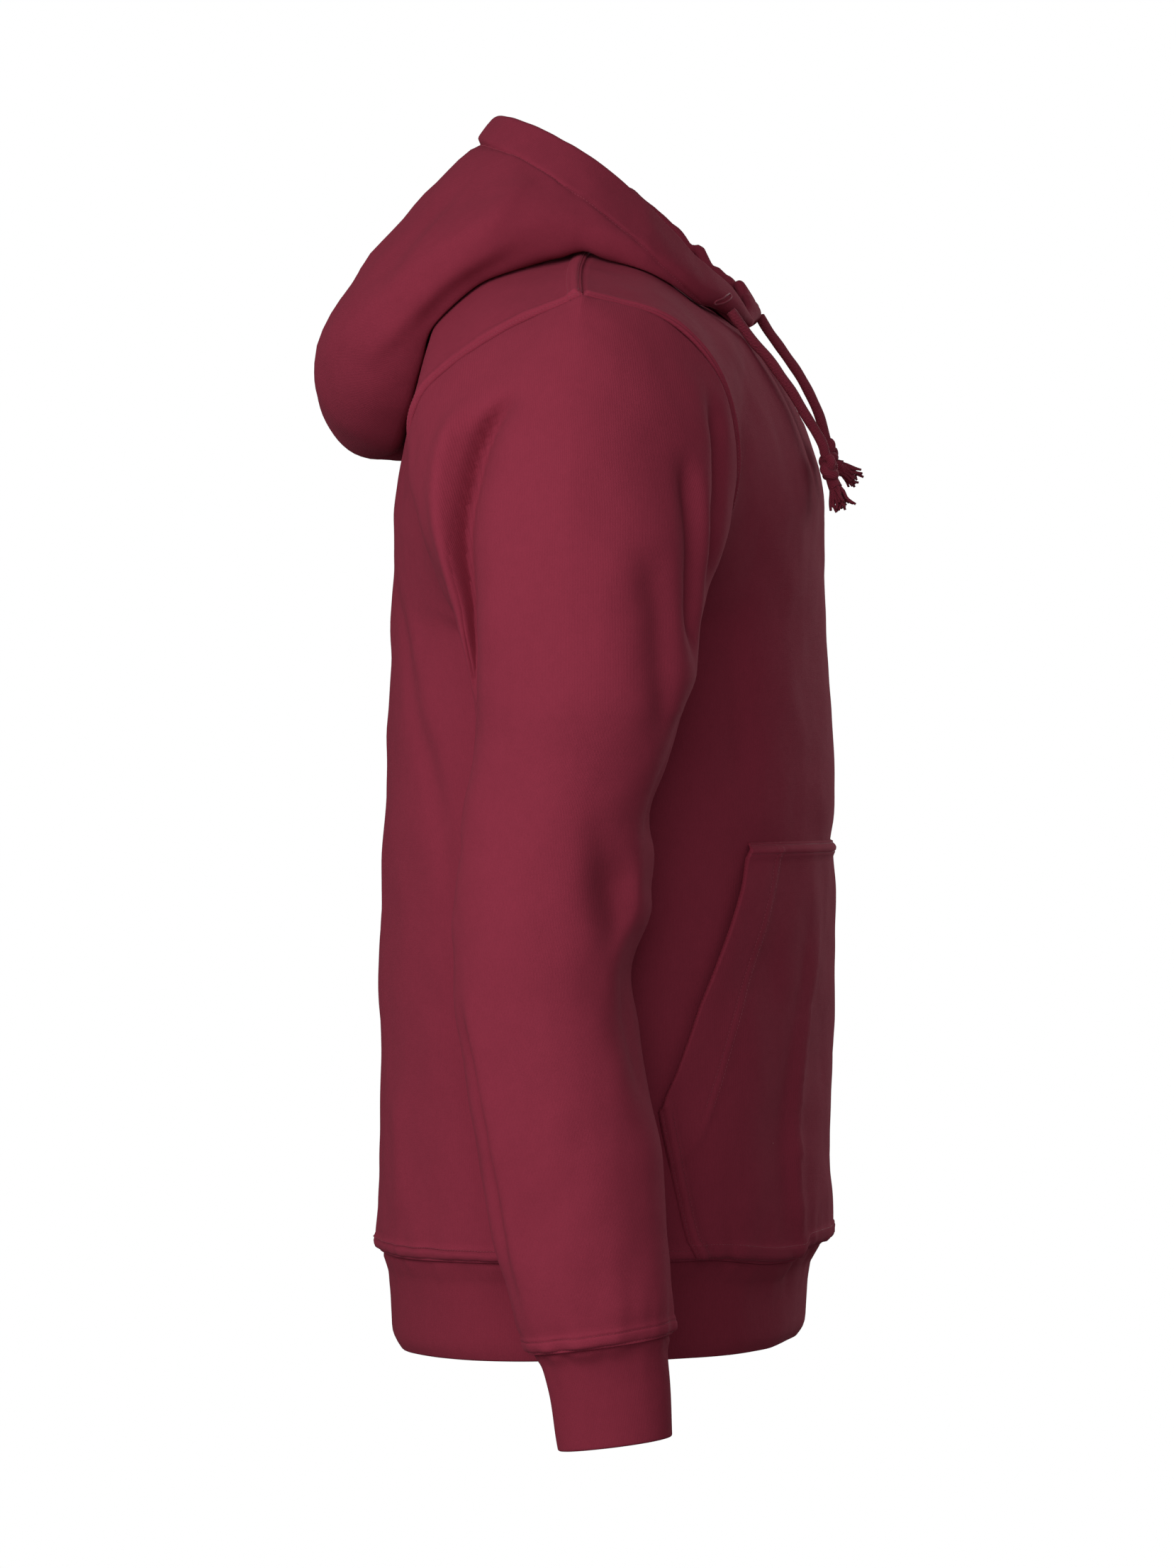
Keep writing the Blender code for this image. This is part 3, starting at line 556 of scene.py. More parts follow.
def under_stitches(distance, rows, height=0.0019):
    """The band beside a seam that two rows of stitches hold down: raised, and pressed in at each row."""
    first, second = rows
    end = second + 0.0012
    middle, spread = (first + second) / 2, (second - first) / 2.6
    band = 0.78 * ease(distance, 0, 0.0009) + 0.22 * hump(distance, middle, spread)
    band = band * (1 - ease(distance, end - 0.0006, end + 0.0016))
    pressed = hump(distance, first, 0.00055) + hump(distance, second, 0.00055)
    return height * band - 0.00075 * pressed


def seam_lift(seams, fullness=0.0010):
    """Lift beside a piece's seams. Each seam: distance from it, and its rows of stitches or None."""
    gaps = [seam[0] for seam in seams]
    lift = fullness * np.prod([ease(gap, 0, 0.0038) for gap in gaps], axis=0)
    for k, (gap, rows) in enumerate(seams):
        if rows:
            others = [ease(other, 0, 0.0025) for j, other in enumerate(gaps) if j != k]
            lift = lift + under_stitches(gap, rows) * np.prod(others, axis=0)
    return lift


def gathers(points, distance, size, amount, reach):
    """Short ripples that run away from a seam which draws the cloth in."""
    squeezed = points * np.array((1.0, 1.0, 0.25))
    return unevenness(squeezed, size, amount) * np.exp(-distance / reach) * ease(distance, 0, 0.004)


raised = float(under_stitches(np.array(0.0046), STITCH_ROWS)) * 1000
print("lift in the middle of a stitched band:", round(raised, 2), "mm")

# %% [markdown]
# The largest folds come first. The wearer's right sleeve has a long trough behind the shoulder with a full
# ridge in front of it, a dimple at the elbow and a thin ridge down to the cuff. The left sleeve has similar
# ones, not the same, because no two sleeves hang alike.

# %% Folds
# behind each shoulder the cloth stands in a roll, drops into a deep trough and rises again as a steep ridge
SLEEVE_DRAPES = (
    (((-0.240, 0.034, -0.096), (-0.245, 0.046, -0.118), (-0.250, 0.053, -0.145), (-0.256, 0.055, -0.172),
      (-0.262, 0.053, -0.200), (-0.263, 0.050, -0.232), (-0.264, 0.046, -0.264), (-0.263, 0.044, -0.300)),
     (-0.0110, 0.0010, 0.0), 0.010, 0.0095),
    (((-0.270, -0.002, -0.098), (-0.269, 0.008, -0.108), (-0.270, 0.020, -0.121), (-0.272, 0.028, -0.140),
      (-0.275, 0.032, -0.163), (-0.279, 0.033, -0.194), (-0.283, 0.030, -0.228), (-0.284, 0.028, -0.260),
      (-0.277, 0.030, -0.292), (-0.272, 0.032, -0.325)), (0.0230, -0.0005, 0.0), 0.0112, 0.0066),
    (((-0.276, -0.006, -0.104), (-0.283, 0.004, -0.130), (-0.287, 0.013, -0.160), (-0.294, 0.014, -0.195),
      (-0.297, 0.014, -0.244), (-0.295, 0.017, -0.296)), (-0.0030, 0.0010, 0.0), 0.0065, 0.024),
    # the dimple at the elbow: it drops steeply and rises slowly to the front edge
    (((-0.305, -0.052, -0.338), (-0.308, -0.053, -0.372), (-0.306, -0.055, -0.406), (-0.299, -0.060, -0.450)),
     (0.0052, 0.0, 0.0), 0.0110, 0.024),
    (((-0.308, -0.052, -0.362), (-0.308, -0.053, -0.384), (-0.305, -0.056, -0.406), (-0.300, -0.060, -0.436)),
     (0.0100, 0.0, 0.0), 0.0085, 0.022),
)
SLEEVE_FOLDS = (
    # front of the upper sleeve: beside the armhole, the thin edge in front, and the trough behind that
    (((-0.214, -0.102, -0.088), (-0.219, -0.107, -0.112), (-0.222, -0.110, -0.135), (-0.227, -0.111, -0.160),
      (-0.236, -0.109, -0.185), (-0.240, -0.104, -0.228)), -0.0070, 0.009, 0.010),
    (((-0.244, -0.104, -0.130), (-0.248, -0.105, -0.162), (-0.250, -0.105, -0.196), (-0.253, -0.104, -0.225),
      (-0.257, -0.103, -0.262)), 0.0022, 0.006, 0.007),
    (((-0.256, -0.096, -0.128), (-0.259, -0.099, -0.146), (-0.261, -0.101, -0.163), (-0.265, -0.102, -0.188),
      (-0.266, -0.102, -0.213), (-0.267, -0.102, -0.241), (-0.267, -0.102, -0.272)), -0.0070, 0.0095, 0.0060),
    (((-0.294, -0.076, -0.186), (-0.297, -0.081, -0.208), (-0.297, -0.085, -0.232), (-0.298, -0.087, -0.262),
      (-0.296, -0.089, -0.293), (-0.292, -0.090, -0.326)), -0.0048, 0.013, 0.012),
    # the front edge falls in above the elbow and again below it
    (((-0.262, -0.100, -0.268), (-0.262, -0.092, -0.300), (-0.262, -0.086, -0.326), (-0.262, -0.080, -0.350),
      (-0.262, -0.079, -0.375)), -0.0085, 0.024, 0.024),
    (((-0.266, -0.078, -0.385), (-0.266, -0.072, -0.420), (-0.268, -0.066, -0.455), (-0.270, -0.067, -0.500),
      (-0.270, -0.070, -0.560)), -0.0058, 0.022, 0.022),
    # elbow: a deep dimple from the front edge, and full cloth above and below it
    (((-0.262, -0.082, -0.366), (-0.276, -0.076, -0.374), (-0.290, -0.070, -0.381), (-0.300, -0.060, -0.388),
      (-0.306, -0.050, -0.394), (-0.311, -0.040, -0.398), (-0.312, -0.030, -0.400)), -0.0020, 0.015, 0.020),
    (((-0.264, -0.080, -0.343), (-0.264, -0.088, -0.378), (-0.264, -0.080, -0.413)), -0.0060, 0.020, 0.022),
    (((-0.268, -0.080, -0.336), (-0.292, -0.072, -0.346), (-0.306, -0.054, -0.350), (-0.311, -0.040, -0.356)),
     0.0016, 0.018, 0.012),
    (((-0.272, -0.078, -0.430), (-0.292, -0.068, -0.440), (-0.306, -0.045, -0.452)), 0.0018, 0.014, 0.020),
    (((-0.300, 0.020, -0.330), (-0.309, 0.002, -0.352), (-0.313, -0.020, -0.366)), -0.0016, 0.014, 0.020),
    (((-0.282, -0.074, -0.400), (-0.284, -0.072, -0.440), (-0.280, -0.072, -0.485), (-0.282, -0.070, -0.530)),
     -0.0036, 0.016, 0.012),
    # thin ridge down the back of the lower sleeve
    (((-0.292, 0.028, -0.440), (-0.297, 0.025, -0.477), (-0.298, 0.019, -0.508), (-0.299, 0.013, -0.538),
      (-0.299, 0.007, -0.567), (-0.298, 0.002, -0.596), (-0.296, -0.004, -0.626), (-0.293, -0.013, -0.657)),
     0.0036, 0.0050, 0.0100),
    (((-0.285, 0.034, -0.450), (-0.290, 0.028, -0.500), (-0.291, 0.020, -0.550), (-0.289, 0.008, -0.605),
      (-0.286, -0.002, -0.650)), -0.0034, 0.006, 0.006),
    (((-0.306, -0.060, -0.470), (-0.308, -0.048, -0.520), (-0.307, -0.046, -0.570)), -0.0012, 0.018, 0.012),
    # inner side
    (((-0.226, 0.010, -0.330), (-0.214, -0.014, -0.350), (-0.214, -0.050, -0.366)), -0.0040, 0.012, 0.012),
    (((-0.222, 0.020, -0.400), (-0.214, -0.010, -0.420), (-0.218, -0.050, -0.440)), -0.0030, 0.012, 0.014),
    # back of the elbow
    (((-0.280, 0.040, -0.360), (-0.262, 0.046, -0.380), (-0.240, 0.038, -0.395)), -0.0035, 0.012, 0.013),
    (((-0.286, 0.034, -0.410), (-0.262, 0.042, -0.425), (-0.240, 0.034, -0.440)), 0.0020, 0.013, 0.012),
)
BODY_FOLDS = (
    # long soft trough down the right of the back
    (((-0.070, 0.113, -0.190), (-0.092, 0.107, -0.215), (-0.112, 0.098, -0.245), (-0.137, 0.086, -0.290),
      (-0.160, 0.073, -0.335), (-0.174, 0.060, -0.390), (-0.180, 0.050, -0.440)), -0.0026, 0.010, 0.012),
    (((-0.110, 0.100, -0.215), (-0.135, 0.088, -0.255), (-0.160, 0.072, -0.300), (-0.178, 0.056, -0.350)),
     0.0018, 0.012, 0.010),
    (((0.060, 0.114, -0.180), (0.090, 0.107, -0.225), (0.125, 0.092, -0.280), (0.160, 0.072, -0.345)),
     -0.0028, 0.012, 0.010),
    (((0.105, 0.101, -0.190), (0.135, 0.087, -0.235), (0.165, 0.068, -0.290)), 0.0018, 0.010, 0.012),
    # over the hem at the back
    (((-0.060, 0.127, -0.470), (-0.066, 0.125, -0.540), (-0.058, 0.124, -0.610)), -0.0022, 0.012, 0.016),
    (((-0.120, 0.104, -0.520), (-0.128, 0.099, -0.570), (-0.124, 0.098, -0.612)), 0.0022, 0.014, 0.012),
    (((0.036, 0.128, -0.480), (0.046, 0.127, -0.550), (0.040, 0.126, -0.612)), 0.0026, 0.014, 0.012),
    (((0.110, 0.110, -0.500), (0.122, 0.103, -0.560), (0.116, 0.103, -0.612)), -0.0024, 0.014, 0.012),
    # front of the chest and waist
    (((-0.150, -0.106, -0.230), (-0.140, -0.114, -0.285), (-0.146, -0.109, -0.345)), -0.0022, 0.014, 0.012),
    (((0.150, -0.106, -0.225), (0.136, -0.117, -0.280), (0.140, -0.113, -0.350)), -0.0026, 0.012, 0.014),
    (((0.120, -0.128, -0.200), (0.098, -0.138, -0.260), (0.090, -0.142, -0.320)), 0.0016, 0.014, 0.016),
)
POCKET_FOLDS = (
    (((-0.040, -0.156, -0.395), (-0.050, -0.156, -0.440), (-0.066, -0.152, -0.485), (-0.077, -0.148, -0.530),
      (-0.082, -0.145, -0.575), (-0.078, -0.144, -0.622), (-0.074, -0.142, -0.660)), 0.0050, 0.013, 0.007),
    (((-0.060, -0.154, -0.400), (-0.074, -0.150, -0.450), (-0.092, -0.143, -0.510), (-0.100, -0.138, -0.570),
      (-0.098, -0.137, -0.615)), -0.0026, 0.016, 0.010),
    (((0.052, -0.156, -0.400), (0.066, -0.152, -0.460), (0.078, -0.147, -0.530), (0.072, -0.146, -0.600)),
     0.0032, 0.010, 0.014),
    (((0.076, -0.150, -0.420), (0.096, -0.141, -0.490), (0.102, -0.137, -0.560)), -0.0022, 0.012, 0.014),
)


def other_side(folds, fuller, lower):
    """The same folds on the wearer's left, a little fuller or slacker and a little lower."""
    shift = np.array((0.0, 0.004, -lower))
    swapped = []
    for k, (line, lift, left, right) in enumerate(folds):
        drift = shift * (1 if k % 2 else -0.6)
        uneven = 0.75 + 0.5 * ((k * 5) % 7) / 7
        swapped.append((mirrored(np.array(line)) + drift, lift * fuller * uneven, right, left))
    return tuple(swapped)


LEFT_SLEEVE_DRAPES = tuple(
    (mirrored(np.array(line)) + (0.0, 0.003, -0.010), (-0.8 * move[0], *move[1:]), back, front)
    for line, move, back, front in SLEEVE_DRAPES)
LEFT_SLEEVE_FOLDS = other_side(SLEEVE_FOLDS, 0.85, 0.012)
print(len(SLEEVE_FOLDS) + len(LEFT_SLEEVE_FOLDS) + len(BODY_FOLDS) + len(POCKET_FOLDS), "folds")

# %% [markdown]
# ## Sewing a piece
# This helper does the same work for each piece of cloth. It lays a grid for each patch, moves its points to
# the outer face, merges the patches, and lets Solidify make the wall. Solidify keeps the outer points first
# and copies them in the same order for the inner layer, so that layer can then be put exactly in place.

# %% Sew a piece of cloth
FLEECE = 0.0022
RIB = 0.0030


class Patch:
    """One grid of a piece: outer face, inner face, place on the flat cloth, and its worn paleness and painted
    shade.
    """

    def __init__(self, outer, inner, cut, wear, flip):
        self.outer, self.inner, self.cut, self.wear, self.flip = outer, inner, cut, wear, flip


def sew(name, patches):
    """One closed piece of cloth from its patches."""
    parts, inner, start = [], [], 0
    for patch in patches:
        rows, columns = patch.outer.shape[:2]
        part, row, column = lay_grid(name, rows, columns)
        write_vector(part.data.vertices, "co", patch.outer[row, column])
        set_cut(part.data, patch.cut[row, column])
        set_number(part.data, "wear", patch.wear[row, column])
        set_number(part.data, "place", start + row * columns + column)
        inner.append(patch.inner.reshape(-1, 3))
        start += rows * columns
        if patch.flip:
            part.data.flip_normals()
        parts.append(part)
    only(*parts)
    if len(parts) > 1:
        bpy.ops.object.join()
    piece = parts[0]
    settle()
    bpy.ops.object.mode_set(mode="EDIT")
    bpy.ops.mesh.select_all(action="SELECT")
    bpy.ops.mesh.remove_doubles(threshold=2e-6)
    bpy.ops.object.mode_set(mode="OBJECT")
    count = len(piece.data.vertices)
    wall = piece.modifiers.new("wall", "SOLIDIFY")
    wall.thickness = FLEECE
    wall.offset = -1.0
    bpy.ops.object.modifier_apply(modifier=wall.name)
    points = read_vector(piece.data.vertices, "co")
    place = np.empty(len(points), dtype=np.float32)
    piece.data.attributes["place"].data.foreach_get("value", place)
    points[count:] = np.concatenate(inner)[np.rint(place[count:]).astype(int)]
    write_vector(piece.data.vertices, "co", points)
    piece.data.attributes.remove(piece.data.attributes["place"])
    piece.data.update()
    bpy.ops.object.shade_smooth()
    area = round(sum(face.area for face in piece.data.polygons) / 2, 3)
    print(name, "has", len(piece.data.polygons), "faces and", area, "square metres of cloth")
    return piece


def lifted(grid, normals, lift):
    return grid + normals * lift[..., None]


def free_edge(distance, radius):
    """How far a rounded edge of this radius is drawn in from each face, at a distance from its end."""
    depth = np.clip(distance / radius, 0.0, 1.0)
    return radius * (1 - np.sqrt(1 - (1 - depth) ** 2))


drawn_in = float(free_edge(np.array(0.0002), 0.0015)) * 1000
print("an edge of 1.5 mm radius is drawn in", round(drawn_in, 2), "mm near its end")

# %% [markdown]
# ## Sleeves, cuffs and hem band on the pattern
# A sleeve starts at the armhole's own seam points, so body and sleeve meet exactly. Its cap sweeps out to
# the first ring, and ovals carry it down to the cuff. Its grid starts and ends at the underarm seam, where a
# real sleeve has its seam as well, so the knit's direction has a place to break.

# %% Rings of the sleeve, cuff and hem
SLEEVE_RINGS = (
    (5, -0.264, -0.0340, -0.290, 0.0560, 0.0645, 0),
    (6, -0.264, -0.0290, -0.318, 0.0540, 0.0595, -3),
    (7, -0.264, -0.0210, -0.348, 0.0530, 0.0565, -3),
    (8, -0.265, -0.0187, -0.385, 0.0525, 0.0585, 0),
    (9, -0.265, -0.0168, -0.416, 0.0515, 0.0575, 0),
    (10, -0.266, -0.0128, -0.450, 0.0500, 0.0525, 3),
    (12, -0.267, -0.0220, -0.512, 0.0470, 0.0540, 7),
    (14, -0.268, -0.0325, -0.590, 0.0435, 0.0505, 8),
    (15, -0.268, -0.0385, -0.628, 0.0410, 0.0470, 8),
    (16, -0.268, -0.0455, -0.664, 0.0345, 0.0405, 8),
)
CAP_ROWS, SLEEVE_ROWS = 5, 16
CAP_DROP = (28.0, 75.0)
CUFF_RINGS = (
    (0, -0.268, -0.0455, -0.6640, 0.0345, 0.0405, 8),
    (1, -0.268, -0.0475, -0.6740, 0.0290, 0.0370, 8),
    (2, -0.268, -0.0500, -0.6880, 0.0268, 0.0358, 8),
    (3, -0.268, -0.0545, -0.7230, 0.0248, 0.0335, 8),
)
HEM_HEIGHT, HEM_BACK_SHARE = 0.0610, 0.5
HEM_RINGS = ((0.00, 0.0000), (0.22, 0.0080), (0.45, 0.0100), (1.00, 0.0120))
HEM_CURL, HEM_CURL_FROM = 0.0065, 0.0470    # how far the foot of the band turns in, and from what height


def ring_points(values, angles):
    """Oval rings, one for each row of values; angle 0 is the outer side, a quarter turn on is the front."""
    x, y, z, half_x, half_y, tilt = (column[:, None] for column in values.T)
    forward, lean = -half_y * np.sin(angles), np.radians(tilt)
    across = x - half_x * np.cos(angles)
    return np.stack((across, y + forward * np.cos(lean), z - forward * np.sin(lean)), axis=2)


def ring_rows(table, low, high, start, end, step):
    """Row places whose rings lie at the wanted distances down the outer side."""
    fine = np.linspace(low, high, 300)
    run = steps(ring_points(read_table(table, fine), np.zeros((1, 1))), 0)[:, 0]
    return np.interp(marks(run[-1], step, start, end), run, fine)


# from the underarm up the back to the shoulder, then down the front to the underarm again
up_back, down_front = back_half[UNDERARM:, 0], front_half[:UNDERARM - 1:-1, 0]
armhole_loop = np.concatenate((up_back, down_front[1:]))
row_turn = (PANEL_ROWS[UNDERARM:] - UNDERARM_ROW) / (SHOULDER_ROW - UNDERARM_ROW) * pi
loop_angles = np.concatenate((pi + row_turn, 2 * pi + (pi - row_turn[::-1])[1:]))

CAP_LINES = 62
ROUNDING_REACH, ROUNDING_WIDTH = 0.090, 0.042    # along the armhole: how far from the shoulder, how smooth


def rounding_off(loop):
    """Moves that round the turn of the armhole's loop at the shoulder, for the cloth beyond the seam."""
    run = running(loop)
    weights = np.exp(-((run[:, None] - run) / ROUNDING_WIDTH) ** 2) * np.gradient(run)
    weights /= weights.sum(axis=1, keepdims=True)
    rounded = weights @ loop
    rounded += weights @ (loop - rounded)
    return (rounded - loop) * hump(run - run[len(up_back) - 1], 0, ROUNDING_REACH)[:, None]


def sleeve_cap(loop, first_ring):
    """The top of the sleeve, swept from the armhole's loop to the first ring."""
    reach = np.linalg.norm(first_ring - loop, axis=1)[:, None]
    drop = np.radians(CAP_DROP[0] + (CAP_DROP[1] - CAP_DROP[0]) * (1 - np.cos(loop_angles)) / 2)[:, None]
    leaving = np.concatenate((-np.cos(drop), 0 * drop, -np.sin(drop)), axis=1) * reach / 3
    arriving = np.array((0.0, 0.0, -1.0)) * reach / 3
    handles = (loop, loop + leaving, first_ring - arriving, first_ring)
    fine = np.linspace(0, 1, 120)[:, None, None]
    runs = steps(bezier(*handles, fine), 0)
    grid = np.empty((CAP_LINES, len(loop), 3))
    for k, move in enumerate(rounding_off(loop)):
        wanted = marks(runs[-1, k], 0, SEAM_MARKS, (0,), CAP_LINES - len(SEAM_MARKS) + 1)
        share = np.interp(wanted, runs[:, k], fine[:, 0, 0])[:, None]
        away = ease(wanted, 0.0, 0.032) * (1 - share[:, 0]) ** 2 * (1 + 2 * share[:, 0])
        grid[:, k] = bezier(*(handle[k] for handle in handles), share) + move * away[:, None]
    return grid


first_ring = ring_points(read_table(SLEEVE_RINGS, [CAP_ROWS]), loop_angles[None])[0]
cap = sleeve_cap(armhole_loop, first_ring)
lower_rows = ring_rows(SLEEVE_RINGS, CAP_ROWS, SLEEVE_ROWS, (0,), RIB_MARKS, CLOTH_STEP)
arm = ring_points(read_table(SLEEVE_RINGS, lower_rows), loop_angles[None])
sleeve_base = np.concatenate((cap, arm[1:]))
cuff_rows = ring_rows(CUFF_RINGS, 0, 3, RIB_MARKS, EDGE_MARKS, 0.0022)
cuff_base = ring_points(read_table(CUFF_RINGS, cuff_rows), loop_angles[None])
print("sleeve grid", sleeve_base.shape[:2], "cuff grid", cuff_base.shape[:2])


def all_round(front, back):
    """Right front, left front, left back and right back of the hem, from the right side seam on."""
    return np.concatenate((front, mirrored(front)[-2::-1], mirrored(back)[1:], back[-2::-1]))


hem_seam = all_round(front_half[0], back_half[0])
outward = hem_seam - hem_seam[:-1].mean(axis=0)
outward[:, 2] = 0
outward /= np.linalg.norm(outward, axis=1)[:, None]
hem_marks = marks(HEM_HEIGHT, 0.0036, RIB_MARKS, EDGE_MARKS)
inset = np.interp(hem_marks / HEM_HEIGHT, *zip(*HEM_RINGS))
share = 1 - (1 - HEM_BACK_SHARE) * (1 + outward[:, 1:2]) / 2
hem_down = np.array((0.0, 0.0, -1.0))
curl = 1 - np.sqrt(1 - (0.96 * ease(hem_marks, HEM_CURL_FROM, HEM_HEIGHT)) ** 2)
curled = HEM_CURL * (0.35 + 0.65 * np.abs(outward[:, 1:2]))
hem_base = (hem_seam[None] - (outward * share)[None] * inset[:, None, None]
            - (outward * curled)[None] * curl[:, None, None] + hem_down * hem_marks[:, None, None])
print("hem grid", hem_base.shape[:2])

# %% [markdown]
# Two pieces meet exactly at a seam only if they are lifted along the same direction there. So each seam gets
# the mean of its two pieces' normals, and both pieces turn to it over the last centimetre.

# %% Shared directions at the seams
def unit(vectors):
    return vectors / np.maximum(np.linalg.norm(vectors, axis=-1, keepdims=True), 1e-12)


def turned_to(normals, seam_normals, distance):
    near = (1 - ease(distance, 0, 0.012))[..., None]
    return unit(normals * (1 - near) + seam_normals * near)


front_normals, back_normals = grid_normals(front_half, False), grid_normals(back_half, True)
for half, normals in ((front_half, front_normals), (back_half, back_normals)):
    on_centre = np.abs(half[:, -1, 0]) < 1e-9
    normals[on_centre, -1, 0] = 0
    normals[:, -1] = unit(normals[:, -1])
sleeve_normals = grid_normals(sleeve_base, True, True)
cuff_normals = grid_normals(cuff_base, True, True)
hem_normals = grid_normals(hem_base, True, True)

arm_count = len(up_back)
half_count = front_half.shape[1]
side_normals = unit(front_normals[:, 0] + back_normals[:, 0])
front_edge, back_edge = side_normals.copy(), side_normals.copy()
back_edge[UNDERARM:] = unit(back_normals[UNDERARM:, 0] + sleeve_normals[0, :arm_count])
front_edge[UNDERARM:] = unit(front_normals[UNDERARM:, 0] + sleeve_normals[0, arm_count - 1:][::-1])
underarm_normal = unit(side_normals[UNDERARM] * 2 + sleeve_normals[0, 0])
shoulder_normals = unit(front_normals[-1] + back_normals[-1])
shoulder_normals[0] = unit(shoulder_normals[0] * 2 + sleeve_normals[0, arm_count - 1])
hem_front = unit(front_normals[0] + hem_normals[0, :half_count])
hem_back = unit(back_normals[0] + hem_normals[0, ::-1][:half_count])
hem_corner = unit(hem_front[0] + hem_back[0])
for edge, hem_edge in ((front_edge, hem_front), (back_edge, hem_back)):
    edge[UNDERARM], edge[-1] = underarm_normal, shoulder_normals[0]
    hem_edge[0] = hem_corner
    edge[0] = hem_corner
    hem_edge[-1] = unit(hem_edge[-1] * np.array((0.0, 1.0, 1.0)))
armhole_normals = np.concatenate((back_edge[UNDERARM:], front_edge[:UNDERARM - 1:-1][1:]))
cuff_seam_normals = unit(sleeve_normals[-1] + cuff_normals[0])
hem_seam_normals = all_round(hem_front, hem_back)


def panel_normals(half, normals, from_edge, edge, hem_edge):
    up = steps(half, 0)
    normals = turned_to(normals, hem_edge[None], up)
    normals = turned_to(normals, shoulder_normals[None], up[-1:] - up)
    return turned_to(normals, edge[:, None], from_edge)


front_normals = panel_normals(front_half, front_normals, front_from_edge, front_edge, hem_front)
back_normals = panel_normals(back_half, back_normals, back_from_edge, back_edge, hem_back)
sleeve_down = steps(sleeve_base, 0)
sleeve_normals = turned_to(sleeve_normals, armhole_normals[None], sleeve_down)
sleeve_normals = turned_to(sleeve_normals, cuff_seam_normals[None], sleeve_down[-1:] - sleeve_down)
cuff_down = steps(cuff_base, 0)
cuff_normals = turned_to(cuff_normals, cuff_seam_normals[None], cuff_down)
hem_run = steps(hem_base, 0)
hem_normals = turned_to(hem_normals, hem_seam_normals[None], hem_run)
print("seam directions shared along", arm_count * 2 - 1, "points of each armhole")

# %% [markdown]
# ## Front and back
# Body panels are the largest pieces. The front sags a little over the hem beside the pocket on the wearer's
# right. The armhole and hem seams are topstitched on the body's side, the shoulder seam on the back panel.

# %% Front and back panels
def sagged(points):
    """The front's right side, hanging a few millimetres lower over the hem band."""
    beside = ease(-points[..., 0], 0.062, 0.076) * (1 - ease(-points[..., 0], 0.100, 0.165))
    low = hump(points[..., 2], -0.6225, 0.036)
    front = ease(-points[..., 1], 0.0, 0.06)
    return points - np.stack((0 * low, 0 * low, 0.0065 * beside * low * front), axis=-1)


def wear_of(relief):
    """Tone of each point from its relief: raised seam threads paler, as worn cloth; grooves and sunk edges
    darker, as painted shade.
    """
    return np.clip(0.5 + relief / 0.0110, 0.0, 1.0)


def panel_half(half, normals, sections, sign, stitched_shoulder):
    """A patch of a front or back panel on the wearer's right (sign -1) or left (sign 1)."""
    grid, way = on_side(sign, half, normals)
    grid = sagged(grid) if sections is FRONT_SECTIONS else grid
    side, arm = gap_to(grid, grid[:UNDERARM + 1, 0]), gap_to(grid, grid[UNDERARM:, 0])
    hem, shoulder = gap_to(grid, grid[0]), gap_to(grid, grid[-1])
    relief = seam_lift(((side, None), (arm, STITCH_ROWS), (hem, RIB_STITCH_ROWS),
                        (shoulder, STITCH_ROWS if stitched_shoulder else None)))
    calm = 0.45 + 0.55 * np.minimum(ease(arm, 0, 0.03), ease(hem, 0, 0.025))
    lift = fold_lift(grid, way, BODY_FOLDS) * calm
    lift += unevenness(grid, 0.060, 0.0026) * ease(np.minimum(side, shoulder), 0, 0.02) * calm
    lift += unevenness(grid, 0.024, 0.0008) * calm
    lift += gathers(grid, hem, 0.012, 0.0026, 0.022) + gathers(grid, arm, 0.011, 0.0008, 0.016)
    if sections is FRONT_SECTIONS:
        lift += fold_lift(grid, way, POCKET_FOLDS) * 0.6
    outer = lifted(grid, way, lift + relief)
    across = steps(grid, 1)
    cut = np.stack((sign * (across[:, -1:] - across), steps(grid, 0)), axis=2)
    flip = (sections is BACK_SECTIONS) == (sign < 0)
    return Patch(outer, outer - way * FLEECE, cut, wear_of(relief), flip)


pieces = {}
panels = {}
for name, half, normals, sections in (("front", front_half, front_normals, FRONT_SECTIONS),
                                      ("back", back_half, back_normals, BACK_SECTIONS)):
    panels[name] = [panel_half(half, normals, sections, sign, name == "back") for sign in (-1, 1)]
    pieces[name] = sew("body_" + name, panels[name])

# %% [markdown]
# ## Sleeves and ribs
# Each sleeve is set in under the body's stitched band, so it rises softly from the seam. Rib cuffs and the
# hem band are a little smaller than the cloth they hold, which makes that cloth pucker beside the seam.

